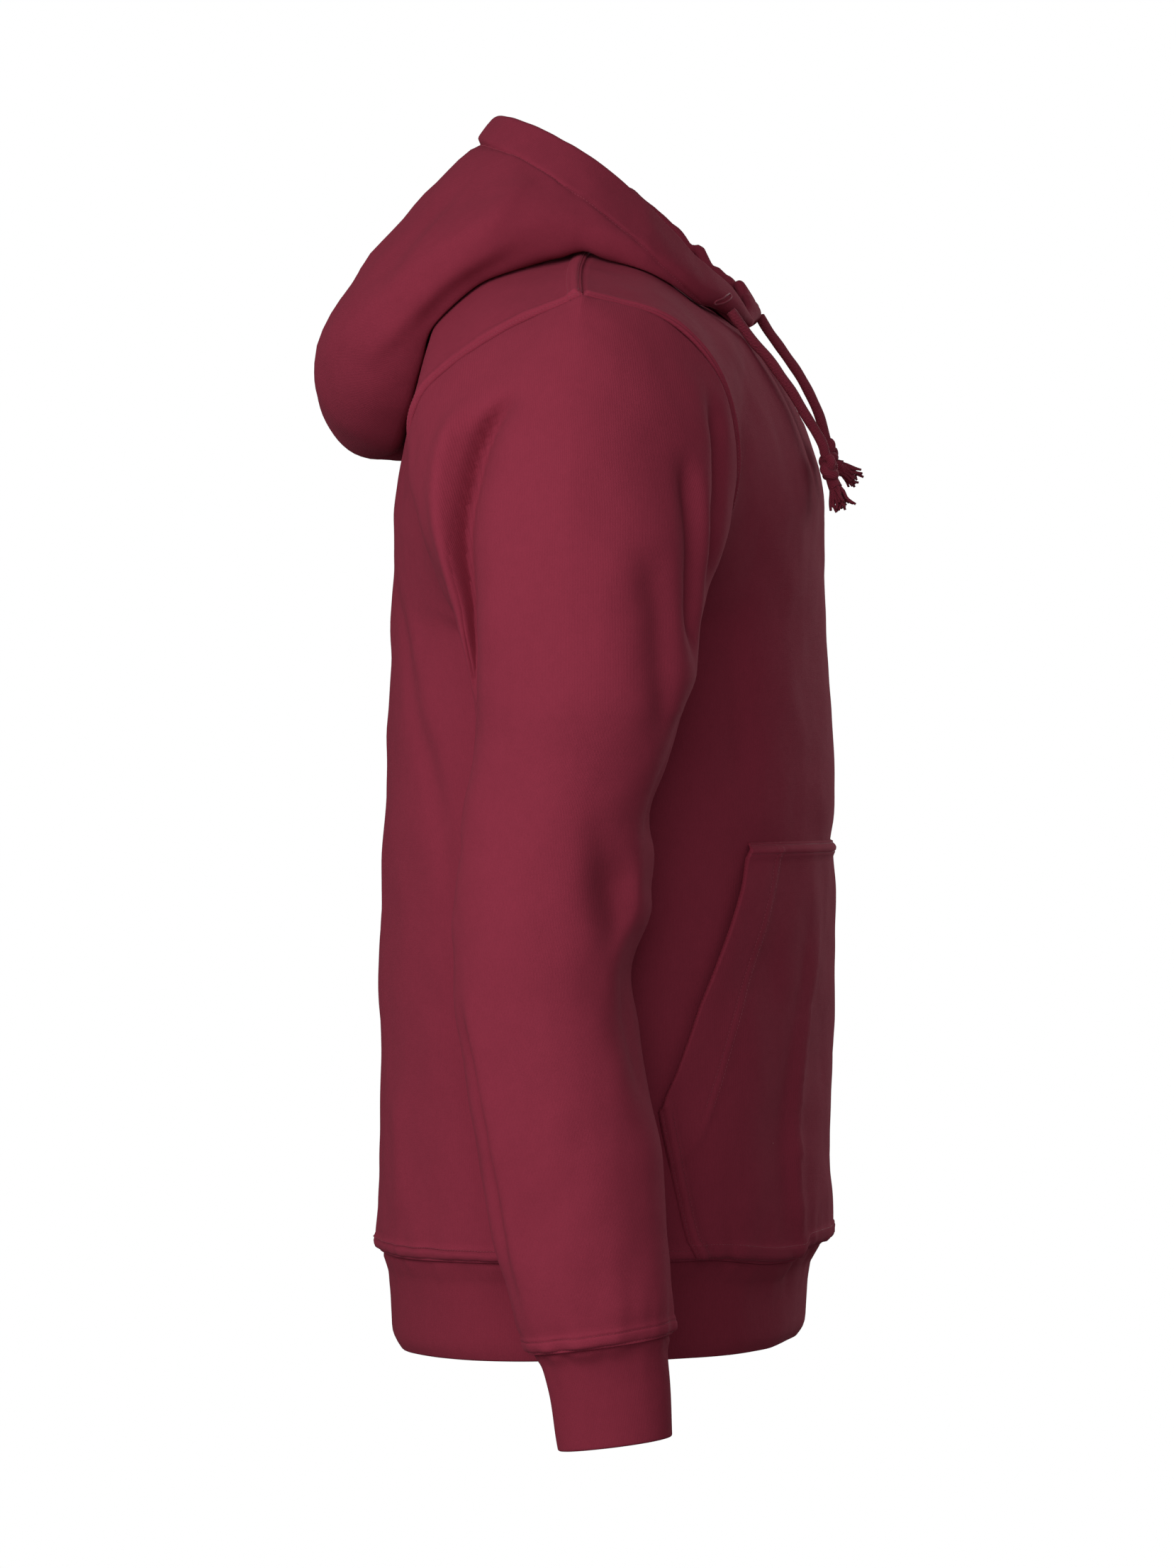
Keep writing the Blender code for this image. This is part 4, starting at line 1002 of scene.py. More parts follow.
# %% Sleeves, cuffs and hem band
def sleeve_patch(sign):
    """The sleeve on the wearer's right (sign -1) or left (sign 1), from the armhole to the cuff."""
    grid, way = on_side(sign, sleeve_base, sleeve_normals)
    arm, cuff, under = gap_to(grid, grid[0]), gap_to(grid, grid[-1]), gap_to(grid, grid[:, 0])
    relief = seam_lift(((arm, None), (cuff, RIB_STITCH_ROWS), (under, None)), 0.0014)
    relief = relief - 0.0007 * (1 - ease(arm, 0, 0.005))
    calm = 0.45 + 0.55 * np.minimum(ease(arm, 0, 0.03), ease(cuff, 0, 0.03))
    lift = fold_lift(grid, way, SLEEVE_FOLDS if sign < 0 else LEFT_SLEEVE_FOLDS) * calm
    lift += unevenness(grid, 0.050, 0.0026) * ease(under, 0, 0.02) * calm
    lift += unevenness(grid, 0.022, 0.0008) * calm
    lift += gathers(grid, cuff, 0.010, 0.0042, 0.020) + gathers(grid, arm, 0.011, 0.0008, 0.016)
    lift += 0.0018 * hump(cuff, 0.016, 0.014)
    draped = drape(grid, SLEEVE_DRAPES if sign < 0 else LEFT_SLEEVE_DRAPES)
    draped = draped * ease(arm, 0.004, 0.03)[..., None]
    outer = lifted(grid + draped, way, lift + relief)
    across, down = steps(grid, 1), steps(grid, 0)
    across = across - across[:, arm_count - 1:arm_count]
    across[:CAP_LINES] = across[CAP_LINES - 1]
    cut = np.stack((across, down - down[CAP_LINES - 1]), axis=2)
    return Patch(outer, outer - way * FLEECE, cut, wear_of(relief), sign < 0)


def rib_patch(grid, way, flip, size):
    """A patch of doubled rib: seamed along its first row, folded along its last."""
    top, down = gap_to(grid, grid[0]), steps(grid, 0)
    edge = down[-1:] - down
    relief = 0.0004 * ease(top, 0, 0.004)
    lift = gathers(grid, top, size, 0.0022, 0.016) + unevenness(grid, 0.045, 0.0016) * ease(top, 0, 0.03)
    drawn = free_edge(edge, RIB / 2)
    outer = lifted(grid, way, lift + relief - drawn)
    inner = lifted(grid, way, lift + relief - RIB + drawn)
    cut = np.stack((np.broadcast_to(steps(grid, 1)[:1], down.shape), down), axis=2)
    # the folded edge is darkened a little as painted shade
    return Patch(outer, inner, cut, wear_of(relief - drawn * 0.3), flip)


sleeves = {}
for side, sign in (("right", -1), ("left", 1)):
    sleeves[side] = sleeve_patch(sign)
    pieces["sleeve_" + side] = sew("sleeve_cloth_" + side, [sleeves[side]])
    grid, way = on_side(sign, cuff_base, cuff_normals)
    pieces["cuff_" + side] = sew("rib_cuff_" + side, [rib_patch(grid, way, sign < 0, 0.010)])
pieces["hem"] = sew("rib_hem", [rib_patch(sagged(hem_base), hem_normals, True, 0.012)])

# %% [markdown]
# ## Hand pocket
# The pocket is one layer of fleece laid on the front. Its top and its short lower sides are sewn down and its
# foot goes into the hem seam. The two slanted openings are hemmed and stand a little off the front. A search
# tree of the front's outer face tells how far each point of the pocket is from it, so the pocket follows
# every fold of the front and never sinks into it.

# %% Pocket
POCKET_TOP, POCKET_CORNER, POCKET_FOOT = 8.30, 3.45, 0.20
POCKET_TURNS = ((0.20, 56.6), (3.45, 66.0), (8.30, 41.5))    # row of the front, degrees round the body
POCKET_HEM = (0.0270, 0.0326)         # two rows of stitches inside each opening
OPENING_MARKS = (0, .0003, .0008, .0014, .0018, .0024, .0034, .0050, .0066, .0074, .0082, .0100, .0125, .0150,
                 .0175, .0200, .0225, .0250, .0262, .0270, .0278, .0294, .0308, .0318, .0326, .0334, .0350)
POCKET_COLUMNS = 60


def search_tree(patches):
    """A search tree of the outer faces of some patches."""
    points, faces = [], []
    for patch in patches:
        rows, columns = patch.outer.shape[:2]
        index = len(points) + np.arange(rows * columns).reshape(rows, columns)
        corners = (index[:-1, :-1], index[:-1, 1:], index[1:, 1:], index[1:, :-1])
        quads = np.stack(corners, axis=2).reshape(-1, 4)
        faces += (quads[:, ::-1] if patch.flip else quads).tolist()
        points += patch.outer.reshape(-1, 3).tolist()
    return BVHTree.FromPolygons(points, faces)


def height_over(tree, points, reach=0.03):
    """Each point's height over the nearest face and that face's normal; the reach where none is near."""
    flat = points.reshape(-1, 3)
    height, facing = np.full(len(flat), reach), np.zeros_like(flat)
    for k, point in enumerate(flat.tolist()):
        place, normal = tree.find_nearest(point, reach)[:2]
        if place is not None:
            height[k] = (Vector(point) - place).dot(normal)
            facing[k] = normal
    return height.reshape(points.shape[:-1]), facing.reshape(points.shape)


fine_at = np.linspace(POCKET_TOP, POCKET_FOOT, 400)
run = steps(panel_points(FRONT_SECTIONS, fine_at, np.ones((400, 1))), 0)[:, 0]
to_corner = np.interp(-POCKET_CORNER, -fine_at, run)
upper_rows = marks(to_corner, 0.0032, SEAM_MARKS, EDGE_MARKS)
lower_rows = to_corner + marks(run[-1] - to_corner, 0.0032, EDGE_MARKS, RIB_MARKS)
pocket_rows = np.interp(np.concatenate((upper_rows, lower_rows[1:])), run, fine_at)
corner_row = len(upper_rows) - 1
turns = np.interp(pocket_rows, *zip(*POCKET_TURNS))[:, None] / 90
fine = np.linspace(0, 1, 240)
runs = steps(panel_points(FRONT_SECTIONS, pocket_rows, 1 - turns * (1 - fine)), 1)
open_columns = POCKET_COLUMNS - len(OPENING_MARKS) + 1
share = np.array([np.interp(marks(run[-1], 0, OPENING_MARKS, (0,), open_columns), run, fine) for run in runs])
turned = 1 - turns * (1 - share)
pocket_half = panel_points(FRONT_SECTIONS, pocket_rows, turned)
rise = (panel_points(FRONT_SECTIONS, pocket_rows + 0.1, turned)
        - panel_points(FRONT_SECTIONS, pocket_rows - 0.1, turned))
sweep_round = (panel_points(FRONT_SECTIONS, pocket_rows, turned + 0.01)
               - panel_points(FRONT_SECTIONS, pocket_rows, turned - 0.01))
half_normals = unit(np.cross(sweep_round, rise))
pocket_grid = sagged(np.concatenate((pocket_half, mirrored(pocket_half)[:, -2::-1]), axis=1))
pocket_normals = np.concatenate((half_normals, mirrored(half_normals)[:, -2::-1]), axis=1)

front_tree = search_tree(panels["front"])
sides = (pocket_grid[:, 0], pocket_grid[:, -1])
opening = np.minimum(*(gap_to(pocket_grid, side[:corner_row + 1]) for side in sides))
lower_side = np.minimum(*(gap_to(pocket_grid, side[corner_row:]) for side in sides))
top, foot = gap_to(pocket_grid, pocket_grid[0]), gap_to(pocket_grid, pocket_grid[-1])
sewn = np.minimum(np.minimum(top, lower_side), foot)
stand_off = 0.0022 * ease(sewn, 0.004, 0.035)
stand_off += 0.0016 * (1 - ease(opening, 0.0, 0.030)) * ease(sewn, 0.004, 0.030)
ridges = fold_lift(pocket_grid, pocket_normals, POCKET_FOLDS)
looseness = unevenness(pocket_grid + 0.3, 0.045, 0.0018)
ridges, looseness = (lift * ease(sewn, 0.0, 0.03) * ease(opening, 0.0, 0.03) for lift in (ridges, looseness))
hem_allowance = 0.0012 * (1 - ease(opening, 0.0322, 0.0345)) * ease(top, 0.001, 0.006)
pressed = sum(hump(opening, at, 0.0006) for at in POCKET_HEM) * ease(sewn, 0.004, 0.008)
bands = under_stitches(top, STITCH_ROWS) + under_stitches(lower_side, STITCH_ROWS) * ease(top, 0.01, 0.012)
relief = hem_allowance - 0.0005 * pressed + bands - 0.0008 * (1 - ease(sewn, 0, 0.006))
wanted = 0.0005 + FLEECE + np.maximum(stand_off + 0.45 * ridges + looseness, 0.0)
wanted += np.maximum(relief, -0.0002)
wanted -= 0.0014 * (1 - ease(sewn, 0.0005, 0.0045))
pocket_outer = pocket_grid
for _ in range(2):
    height = height_over(front_tree, pocket_outer)[0]
    pocket_outer = lifted(pocket_outer, pocket_normals, wanted - height)
rounded = free_edge(np.minimum(np.minimum(opening, lower_side), top), FLEECE / 2)
wall = FLEECE + hem_allowance
across = steps(pocket_grid, 1)
across = across - across[:, POCKET_COLUMNS - 1:POCKET_COLUMNS]
pocket_cut = np.stack((across, steps(pocket_grid, 0)), axis=2)
into_seam = 0.0014 * (1 - ease(foot, 0, 0.003))
# the pocket's rounded edges and sunk sewn rims are darkened as painted shade
pocket = Patch(lifted(pocket_outer, pocket_normals, -rounded - into_seam),
               lifted(pocket_outer, pocket_normals, rounded - wall),
               pocket_cut, wear_of(relief - rounded * 0.3), True)
pieces["pocket"] = sew("hand_pocket", [pocket])
print("the pocket stands", round(float((wanted - wall).max()) * 1000, 1), "mm off the front at most")

# %% [markdown]
# ## Hood
# The hood has fallen on the back. From the neck seam its cloth lies flat on the shoulders, turns over at
# a soft fold and rises to its rim, where a channel carries the draw cord, 20 mm wide in front, up to 49 mm
# at the side and narrower again behind. Each half is one patch, and its rows run from the neck seam up to
# the rim. The channel is two layers with air between them, so the wall there is much thicker, with a round
# rim and a deep groove at its row of stitches. The cord gathers the front, most on the wearer's left.

# %% The hood's pattern
HOOD_LOWER = (
    (0, 0.000, -0.0990, -0.0450, 0.000, -0.1040, -0.0410, 0.002),
    (1, -0.032, -0.0925, -0.0385, -0.038, -0.0975, -0.0370, 0.003),
    (2, -0.060, -0.0750, -0.0250, -0.078, -0.0810, -0.0330, 0.006),
    (3, -0.080, -0.0480, -0.0080, -0.112, -0.0490, -0.0160, 0.010),
    (4, -0.090, -0.0160, 0.0030, -0.131, -0.0049, -0.0026, 0.014),
    (5, -0.084, 0.0140, 0.0030, -0.140, 0.0400, -0.0170, 0.016),
    (6, -0.072, 0.0380, 0.0005, -0.136, 0.0740, -0.0520, 0.020),
    (7, -0.054, 0.0580, -0.0030, -0.110, 0.0940, -0.0900, 0.026),
    (8, -0.028, 0.0710, -0.0070, -0.060, 0.1150, -0.1180, 0.032),
    (9, 0.000, 0.0760, -0.0090, 0.000, 0.1396, -0.1223, 0.034),
)
HOOD_UPPER = (
    (0, 0.000, -0.1065, -0.0380, 0.000, -0.1030, -0.0320),
    (1, -0.041, -0.1020, -0.0310, -0.034, -0.0950, -0.0170),
    (2, -0.084, -0.0860, -0.0230, -0.068, -0.0760, 0.0010),
    (3, -0.121, -0.0520, -0.0020, -0.090, -0.0455, 0.0344),
    (4, -0.142, -0.0040, 0.0130, -0.093, -0.0180, 0.0580),
    (5, -0.153, 0.0470, 0.0050, -0.084, 0.0060, 0.0730),
    (6, -0.150, 0.0920, -0.0240, -0.068, 0.0290, 0.0850),
    (7, -0.126, 0.1320, -0.0500, -0.042, 0.0470, 0.0925),
    (8, -0.074, 0.1640, -0.0640, -0.018, 0.0550, 0.0965),
    (9, 0.000, 0.1775, -0.0680, 0.000, 0.0568, 0.0980),
)
HOOD_STATIONS = 132
HOOD_UNDER, HOOD_TURN, HOOD_OVER = 14, 16, 36
ROUNDNESS, HOOD_RISE, HOOD_REACH = 0.55, 0.23, 0.24
HOOD_CENTRE_Y = -0.010
LEFT_FRONT = np.array((0.001, -0.0045, 0.0015))     # how far the gathered left front hangs forward
# width of the draw cord's channel, as it shows: station, metres
CHANNEL_WIDTHS = ((0, 0.020), (1, 0.027), (2, 0.043), (2.8, 0.049), (3.6, 0.044), (4.5, 0.037), (5.5, 0.031),
                  (7, 0.0265), (9, 0.0225))
RIM_MARKS = (0, .012, .040, .080, .130, .200, .280, .380, .500, .620, .740, .850, .910, .955, .980, 1.000,
             1.020, 1.045, 1.090, 1.150, 1.270)      # rows beside the rim, as shares of the channel's width

HOOD_FOLDS = (
    (((-0.118, 0.018, 0.048), (-0.126, 0.023, 0.037), (-0.148, 0.036, 0.015), (-0.153, 0.056, -0.005),
      (-0.154, 0.075, -0.015)), 0.0024, 0.014, 0.008),
    (((-0.125, 0.040, 0.040), (-0.142, 0.048, 0.020), (-0.151, 0.068, 0.000)), -0.0018, 0.010, 0.012),
    (((-0.140, 0.012, 0.010), (-0.149, 0.025, 0.003), (-0.150, 0.044, -0.008), (-0.149, 0.070, -0.023),
      (-0.147, 0.081, -0.034), (-0.139, 0.104, -0.056), (-0.131, 0.116, -0.066), (-0.118, 0.130, -0.076)),
     0.0026, 0.010, 0.006),
    (((-0.143, 0.020, -0.004), (-0.147, 0.045, -0.018), (-0.145, 0.070, -0.036), (-0.138, 0.092, -0.058)),
     -0.0016, 0.006, 0.007),
    (((-0.088, 0.070, 0.052), (-0.112, 0.088, 0.020), (-0.128, 0.108, -0.010), (-0.130, 0.120, -0.030)),
     -0.0022, 0.012, 0.014),
    (((-0.040, 0.090, 0.052), (-0.058, 0.118, 0.018), (-0.072, 0.142, -0.020)), 0.0020, 0.012, 0.014),
    (((-0.070, 0.130, 0.000), (-0.078, 0.150, -0.035), (-0.070, 0.162, -0.065)), -0.0020, 0.012, 0.012),
)
LEFT_HOOD_FOLDS = other_side(HOOD_FOLDS, 1.0, 0.006)

stations = np.linspace(0, 9, HOOD_STATIONS)
lower, upper = read_table(HOOD_LOWER, stations), read_table(HOOD_UPPER, stations)
neck, fold, tuck, swell, rim = lower[:, 0:3], lower[:, 3:6], lower[:, 6:7], upper[:, 0:3], upper[:, 3:6]
channel = np.interp(stations, *zip(*CHANNEL_WIDTHS))
outward = (fold - (0.0, HOOD_CENTRE_Y, 0.0)) * (1, 1, 0)
outward /= np.linalg.norm(outward, axis=1)[:, None]
up = np.array((0.0, 0.0, 1.0))
rise = (swell - fold)[:, 2:3]
under_handles = (neck, neck + (fold - neck) * 0.35 + up * 0.004, fold - outward * tuck, fold)
turn_handles = (fold, fold + (swell - fold - up * rise) * ROUNDNESS, swell - up * rise * ROUNDNESS, swell)
over_handles = (swell, swell + up * (rim - swell)[:, 2:3] * HOOD_RISE, rim + (swell - rim) * HOOD_REACH, rim)


def stretch(handles, count=None):
    """Points down a Bezier at every station: evenly spread, or close together towards the rim."""
    fine = np.linspace(0, 1, 160)[:, None, None]
    line = bezier(*handles, fine)
    runs = steps(line, 0)
    even = np.linspace(0, 1, (count or HOOD_OVER) + 1)
    grid = np.empty((len(even), HOOD_STATIONS, 3))
    for k, length in enumerate(runs[-1]):
        wanted = even * length
        if count is None:
            close = min(channel[k], length / 1.9)
            ends = tuple(mark * close for mark in RIM_MARKS)
            wanted = marks(length, 0, (0,), ends, HOOD_OVER + 2 - len(RIM_MARKS))
        places = np.interp(wanted, runs[:, k], fine[:, 0, 0])[:, None]
        grid[:, k] = bezier(*(handle[k] for handle in handles), places)
    return grid


hood_base = np.concatenate((stretch(under_handles, HOOD_UNDER)[:-1], stretch(turn_handles, HOOD_TURN)[:-1],
                            stretch(over_handles)))
FOLD_ROW, SWELL_ROW = HOOD_UNDER, HOOD_UNDER + HOOD_TURN
print("hood grid", hood_base.shape[:2], "from the neck seam to the rim")

# %% [markdown]
# The two halves are not alike. The one on the wearer's right is smooth along its rim. The other is gathered
# in front. Both must clear the shoulders, so their lower rows are moved out wherever they come nearer than
# a millimetre, and the moves are evened out before the next look.

# %% Both halves of the hood
shoulders_tree = search_tree(panels["front"] + panels["back"] + [sleeves["right"], sleeves["left"]])


def evened(values, rounds):
    """A grid of values, each replaced by the mean of itself and its neighbours a few times."""
    for _ in range(rounds):
        wide = np.pad(values, ((1, 1), (1, 1)) + ((0, 0),) * (values.ndim - 2), mode="edge")
        values = (values * 2 + wide[:-2, 1:-1] + wide[2:, 1:-1] + wide[1:-1, :-2] + wide[1:-1, 2:]) / 6
    return values


def kept_clear(grid, clearance, rounds=5):
    """The grid moved off the shoulders until it is this far from them everywhere."""
    for turn in range(rounds):
        height, facing = height_over(shoulders_tree, grid, 0.012)
        move = facing * np.maximum(clearance - height, 0.0)[..., None]
        grid = grid + (evened(move, 2) if turn < rounds - 1 else move)
    return grid


def snug(grid):
    """The hood's fold drawn down onto the shoulders, beside and behind the neck."""
    beside = np.interp(stations, (2.4, 3.4, 7.2, 8.6), (0.0, 1.0, 1.0, 0.35))
    rows = np.arange(len(grid))
    near_fold = ease(rows, FOLD_ROW - 9, FOLD_ROW - 1) * (1 - ease(rows, FOLD_ROW + 3, SWELL_ROW + 7))
    height = height_over(shoulders_tree, grid, 0.030)[0]
    gap = np.where(height < 0.029, height, 0.0) - 0.0012
    gap = evened(np.clip(gap, 0.0, 0.0065), 3)
    drawn = gap[FOLD_ROW - 2:FOLD_ROW + 3].mean(axis=0)
    return grid - up * (drawn * beside)[None, :, None] * near_fold[:, None, None]


def channel_wall(from_rim, from_fold, fullness):
    """Half the wall's thickness and where its middle lies, over the channel and beyond it."""
    nose = np.sqrt(1 - (1 - np.clip(from_rim / (fullness * 0.62), 0, 1)) ** 2)
    within = ease(from_fold, 0, 0.012) * (1 - ease(from_rim / channel, 0.45, 1.0))
    half = nose * (FLEECE / 2 + (fullness - FLEECE) / 2 * within)
    middle = -FLEECE / 2 + (0.0008 - (fullness - FLEECE) / 2) * within
    return half, middle


def hood_patch(sign):
    """The half of the hood on the wearer's right (sign -1) or left (sign 1)."""
    grid = snug(hood_base if sign < 0 else mirrored(hood_base))
    folds = HOOD_FOLDS if sign < 0 else LEFT_HOOD_FOLDS
    down = steps(grid, 0)
    from_rim, from_neck = down[-1:] - down, down
    from_fold = np.maximum(down - down[FOLD_ROW:FOLD_ROW + 1], 0.0)
    around = steps(grid, 1)
    place = np.broadcast_to(stations, down.shape)
    front = ease(place, 0.5, 1.4) * (1 - ease(place, 3.6, 6.0))
    # gathers: waves along the channel, deepest at the rim
    run = np.broadcast_to(around[-1:], down.shape)
    wave = unevenness(np.stack((run + sign, from_rim * 0.12, 0 * run), axis=2), 0.0125, 1.0)
    deep = (0.0052 if sign > 0 else 0.0008) * front
    near_rim = 1 - ease(from_rim / channel, 0.5, 1.5)
    grid = grid + up * (wave * deep * near_rim)[..., None]
    if sign > 0:
        forward = hump(place, 1.2, 1.3) * ease(place, 0, 0.6) * ease(from_fold, 0, 0.012)
        grid = grid + LEFT_FRONT * forward[..., None]
    normals = grid_normals(grid, sign < 0)
    normals[:, (0, -1), 0] = 0
    normals = unit(normals)
    fullness = (0.0075 + 0.0060 * ease(place, 6.5, 8.8)) * (0.75 + 0.25 * ease(place, 0.0, 1.5))
    half, middle = channel_wall(from_rim, from_fold, fullness)
    back = ease(place, 5.0, 8.6)
    past = from_rim - channel
    groove = -(0.0007 + 0.0034 * back) * hump(past, 0, 0.0016 + 0.0060 * back * (past > 0))
    groove -= 0.0006 * hump(past, 0, 0.0006)
    groove *= ease(from_fold, 0, 0.006)
    calm = ease(np.minimum(from_neck, around[:, -1:] - around), 0, 0.02)
    soft = ease(past, 0, 0.020)
    lift = fold_lift(grid, normals, folds) * soft * calm
    lift += (unevenness(grid, 0.055, 0.0030) * calm * (0.3 + 0.7 * soft)
             + unevenness(grid, 0.020, 0.0007) * calm)
    pucker = unevenness(np.stack((around, down * 0.15, 0 * down), axis=2), 0.0075, 0.0024)
    lift += pucker * hump(past, 0, 0.009) * (0.15 + front * (0.8 if sign > 0 else 0.1))
    seam = -0.0010 * (1 - ease(around[:, -1:] - around, 0, 0.0035))
    outer = lifted(grid, normals, middle + half + lift + groove + seam)
    flat_rows = SWELL_ROW + 4
    outer[:flat_rows] = kept_clear(outer[:flat_rows], 0.0010)
    outer[:, (0, -1), 0] = 0.0
    inner = outer - normals * (2 * half + 0.35 * groove)[..., None]
    cut = np.stack((from_rim, sign * (around[:, -1:] - around)), axis=2)
    # the channel's groove and the centre seam are darkened as painted shade
    relief = groove * 0.5 + seam
    return Patch(outer, inner, cut, wear_of(relief), sign < 0)


hoods = {}
for side, sign in (("right", -1), ("left", 1)):
    hoods[side] = hood_patch(sign)
    pieces["hood_" + side] = sew("hood_cloth_" + side, [hoods[side]])

# %% [markdown]
# ## Topstitching
# The seams are topstitched with two rows of short stitches in thread of the cloth's own colour. One stitch
# is a small bead. Array repeats it and Curve bends the row along a line on the cloth, so every stitch is
# geometry and lies in the groove that the needle pulled. The line is taken from the piece's own grid.

# %% Rows of stitches
STITCH_PITCH, STITCH_LENGTH, STITCH_THICKNESS = 0.0023, 0.0017, 0.00058
BUTTONHOLES = {
    "right": ((-0.0710, -0.0900, -0.0320), (-0.0540, -0.0970, -0.0260)),
    "left": ((0.0600, -0.0965, -0.0265), (0.0430, -0.1035, -0.0205)),
}
BUTTONHOLE_WIDTH, BUTTONHOLE_CORD = 0.0017, 0.00062    # half its width, and the radius of its stitched lip


def stitch_row(name, line):
    """Stitches in a row along a line of points."""
    length = float(running(line)[-1])
    bpy.ops.object.select_all(action="DESELECT")
    bpy.ops.curve.primitive_bezier_curve_add(location=(0, 0, 0))
    guide = bpy.context.active_object
    guide.data.splines.clear()
    guide.data.dimensions = "3D"
    spline = guide.data.splines.new("POLY")
    spline.points.add(len(line) - 1)
    spline.points.foreach_set("co", np.column_stack((line, np.ones(len(line)))).astype(np.float32).ravel())
    bpy.ops.object.select_all(action="DESELECT")
    bpy.ops.mesh.primitive_uv_sphere_add(segments=6, ring_count=4, radius=0.5, rotation=(0, pi / 2, 0),
                                         location=(STITCH_PITCH / 2, 0, 0))
    row = bpy.context.active_object
    row.name = name
    row.scale = (STITCH_THICKNESS, STITCH_THICKNESS, STITCH_LENGTH)
    settle()
    repeat = row.modifiers.new("repeat", "ARRAY")
    repeat.use_relative_offset = False
    repeat.use_constant_offset = True
    repeat.constant_offset_displace = (STITCH_PITCH, 0, 0)
    repeat.count = max(1, int(length / STITCH_PITCH))
    bpy.ops.object.modifier_apply(modifier=repeat.name)
    bend = row.modifiers.new("bend", "CURVE")
    bend.object = guide
    bpy.ops.object.modifier_apply(modifier=bend.name)
    bpy.ops.object.shade_smooth()
    bpy.data.objects.remove(guide)
    return row


def stitched(name, lines):
    """All the rows of one kind of seam, as one piece."""
    rows = [stitch_row(name, np.asarray(line)) for line in lines]
    only(*rows)
    if len(rows) > 1:
        bpy.ops.object.join()
    print(name, "has", len(lines), "rows and", len(rows[0].data.polygons) // 24, "stitches")
    return rows[0]


def reached(points, distance, at):
    """On each line of a grid, the point where the distance from a seam reaches a value."""
    line = []
    for row, run, wanted in zip(points, distance, np.broadcast_to(at, len(points))):
        peak = int(run.argmax()) + 1
        place = np.interp(wanted, run[:peak], np.arange(peak))
        k = min(int(place), len(row) - 2)
        line.append(row[k] + (row[k + 1] - row[k]) * (place - k))
    return np.array(line)


# where the two rows of stitches stand among a grid's rows or columns, counted from its start and its end
FROM_START = tuple(SEAM_MARKS.index(mark) for mark in STITCH_ROWS)
FROM_END = tuple(-1 - place for place in FROM_START)
armhole_lines, hem_lines, shoulder_lines, pocket_lines = [], [], [], []
foot_edge = abs(pocket.outer[-1, 0, 0])
for front, back in zip(panels["front"], panels["back"]):
    for k in FROM_START:
        armhole_lines.append(np.concatenate((back.outer[UNDERARM:, k], front.outer[:UNDERARM:-1, k])))
        hem_lines += [back.outer[k], front.outer[k][np.abs(front.outer[k][:, 0]) > foot_edge]]
    shoulder_lines += [back.outer[k] for k in FROM_END]
for half in (np.s_[:, :POCKET_COLUMNS], np.s_[:, :-POCKET_COLUMNS:-1]):
    points, from_opening, from_side = pocket.outer[half], opening[half], lower_side[half]
    for at in POCKET_HEM:
        pocket_lines.append(reached(points[:corner_row], from_opening[:corner_row], at))
    for at in STITCH_ROWS:
        pocket_lines.append(reached(points[corner_row + 2:], from_side[corner_row + 2:], at))
pocket_lines += [pocket.outer[k] for k in FROM_START + FROM_END]
hood_lines = [reached(hood.outer[::-1].transpose(1, 0, 2), hood.cut[::-1, :, 0].T, channel)
              for hood in hoods.values()]
cuff_lines = [sleeve.outer[k] for sleeve in sleeves.values() for k in FROM_END]
seam_lines = {"armhole": armhole_lines, "hem": hem_lines, "shoulder": shoulder_lines,
              "pocket": pocket_lines, "hood": hood_lines, "cuff": cuff_lines}
stitching = {seam: stitched(seam + "_stitching", lines) for seam, lines in seam_lines.items()}

# %% [markdown]
# A cord end leaves its channel through a buttonhole: a slit with a corded, closely stitched lip. Inside the
# lip a flat dark disc lies on the cloth as painted shadow for the opening.

# %% Buttonholes
def buttonhole(side, ends):
    """The lip of a buttonhole as one round bead, and a flat dark disc inside it, painted shadow for the
    opening.
    """
    tree = search_tree([hoods[side]])
    first, second = (np.array(tree.find_nearest(Vector(end))[0]) for end in ends)
    facing = np.array(tree.find_nearest(Vector((first + second) / 2))[1])
    ahead = unit(second - first)
    across = unit(np.cross(facing, ahead))
    turn = np.linspace(0, 2 * pi, 65)
    half_length = np.linalg.norm(second - first) / 2 - BUTTONHOLE_WIDTH
    straight = np.clip(np.cos(turn) * 3, -1, 1) * half_length
    line = ((first + second) / 2 + ahead * (straight + np.cos(turn) * BUTTONHOLE_WIDTH)[:, None]
            + across * (np.sin(turn) * BUTTONHOLE_WIDTH)[:, None])
    line = np.array([np.array(tree.find_nearest(Vector(point))[0]) for point in line]) + facing * 0.0001
    lip = sweep("buttonhole_lip_" + side, line, BUTTONHOLE_CORD, 10)
    # a flat dark disc on the cloth: painted shadow where the opening is
    bpy.ops.object.select_all(action="DESELECT")
    bpy.ops.mesh.primitive_uv_sphere_add(segments=16, ring_count=8, radius=1.0)
    slit = bpy.context.active_object
    slit.name = "buttonhole_slit_shadow_" + side
    slit.scale = (half_length + BUTTONHOLE_WIDTH, BUTTONHOLE_WIDTH * 0.8, 0.00035)
    turned = Matrix((ahead, across, facing)).transposed()
    slit.rotation_euler = turned.to_euler()
    slit.location = (first + second) / 2 + facing * 0.00005
    settle()
    bpy.ops.object.shade_smooth()
    return lip, slit


lips, slit_shadows = {}, {}
for side, ends in BUTTONHOLES.items():
    lips[side], slit_shadows[side] = buttonhole(side, ends)
    print("buttonhole", side, "is", round(max(slit_shadows[side].dimensions) * 1000, 1), "mm long")

# %% [markdown]
# ## Finishes
# A finish is a tree of nodes. Writing it as sums and products is easier to read than a chain of Math nodes,
# so a small class wraps a socket: an expression on it adds the nodes. Anything else comes from its method
# `node`, which takes a node's type, its settings and what goes into its sockets.

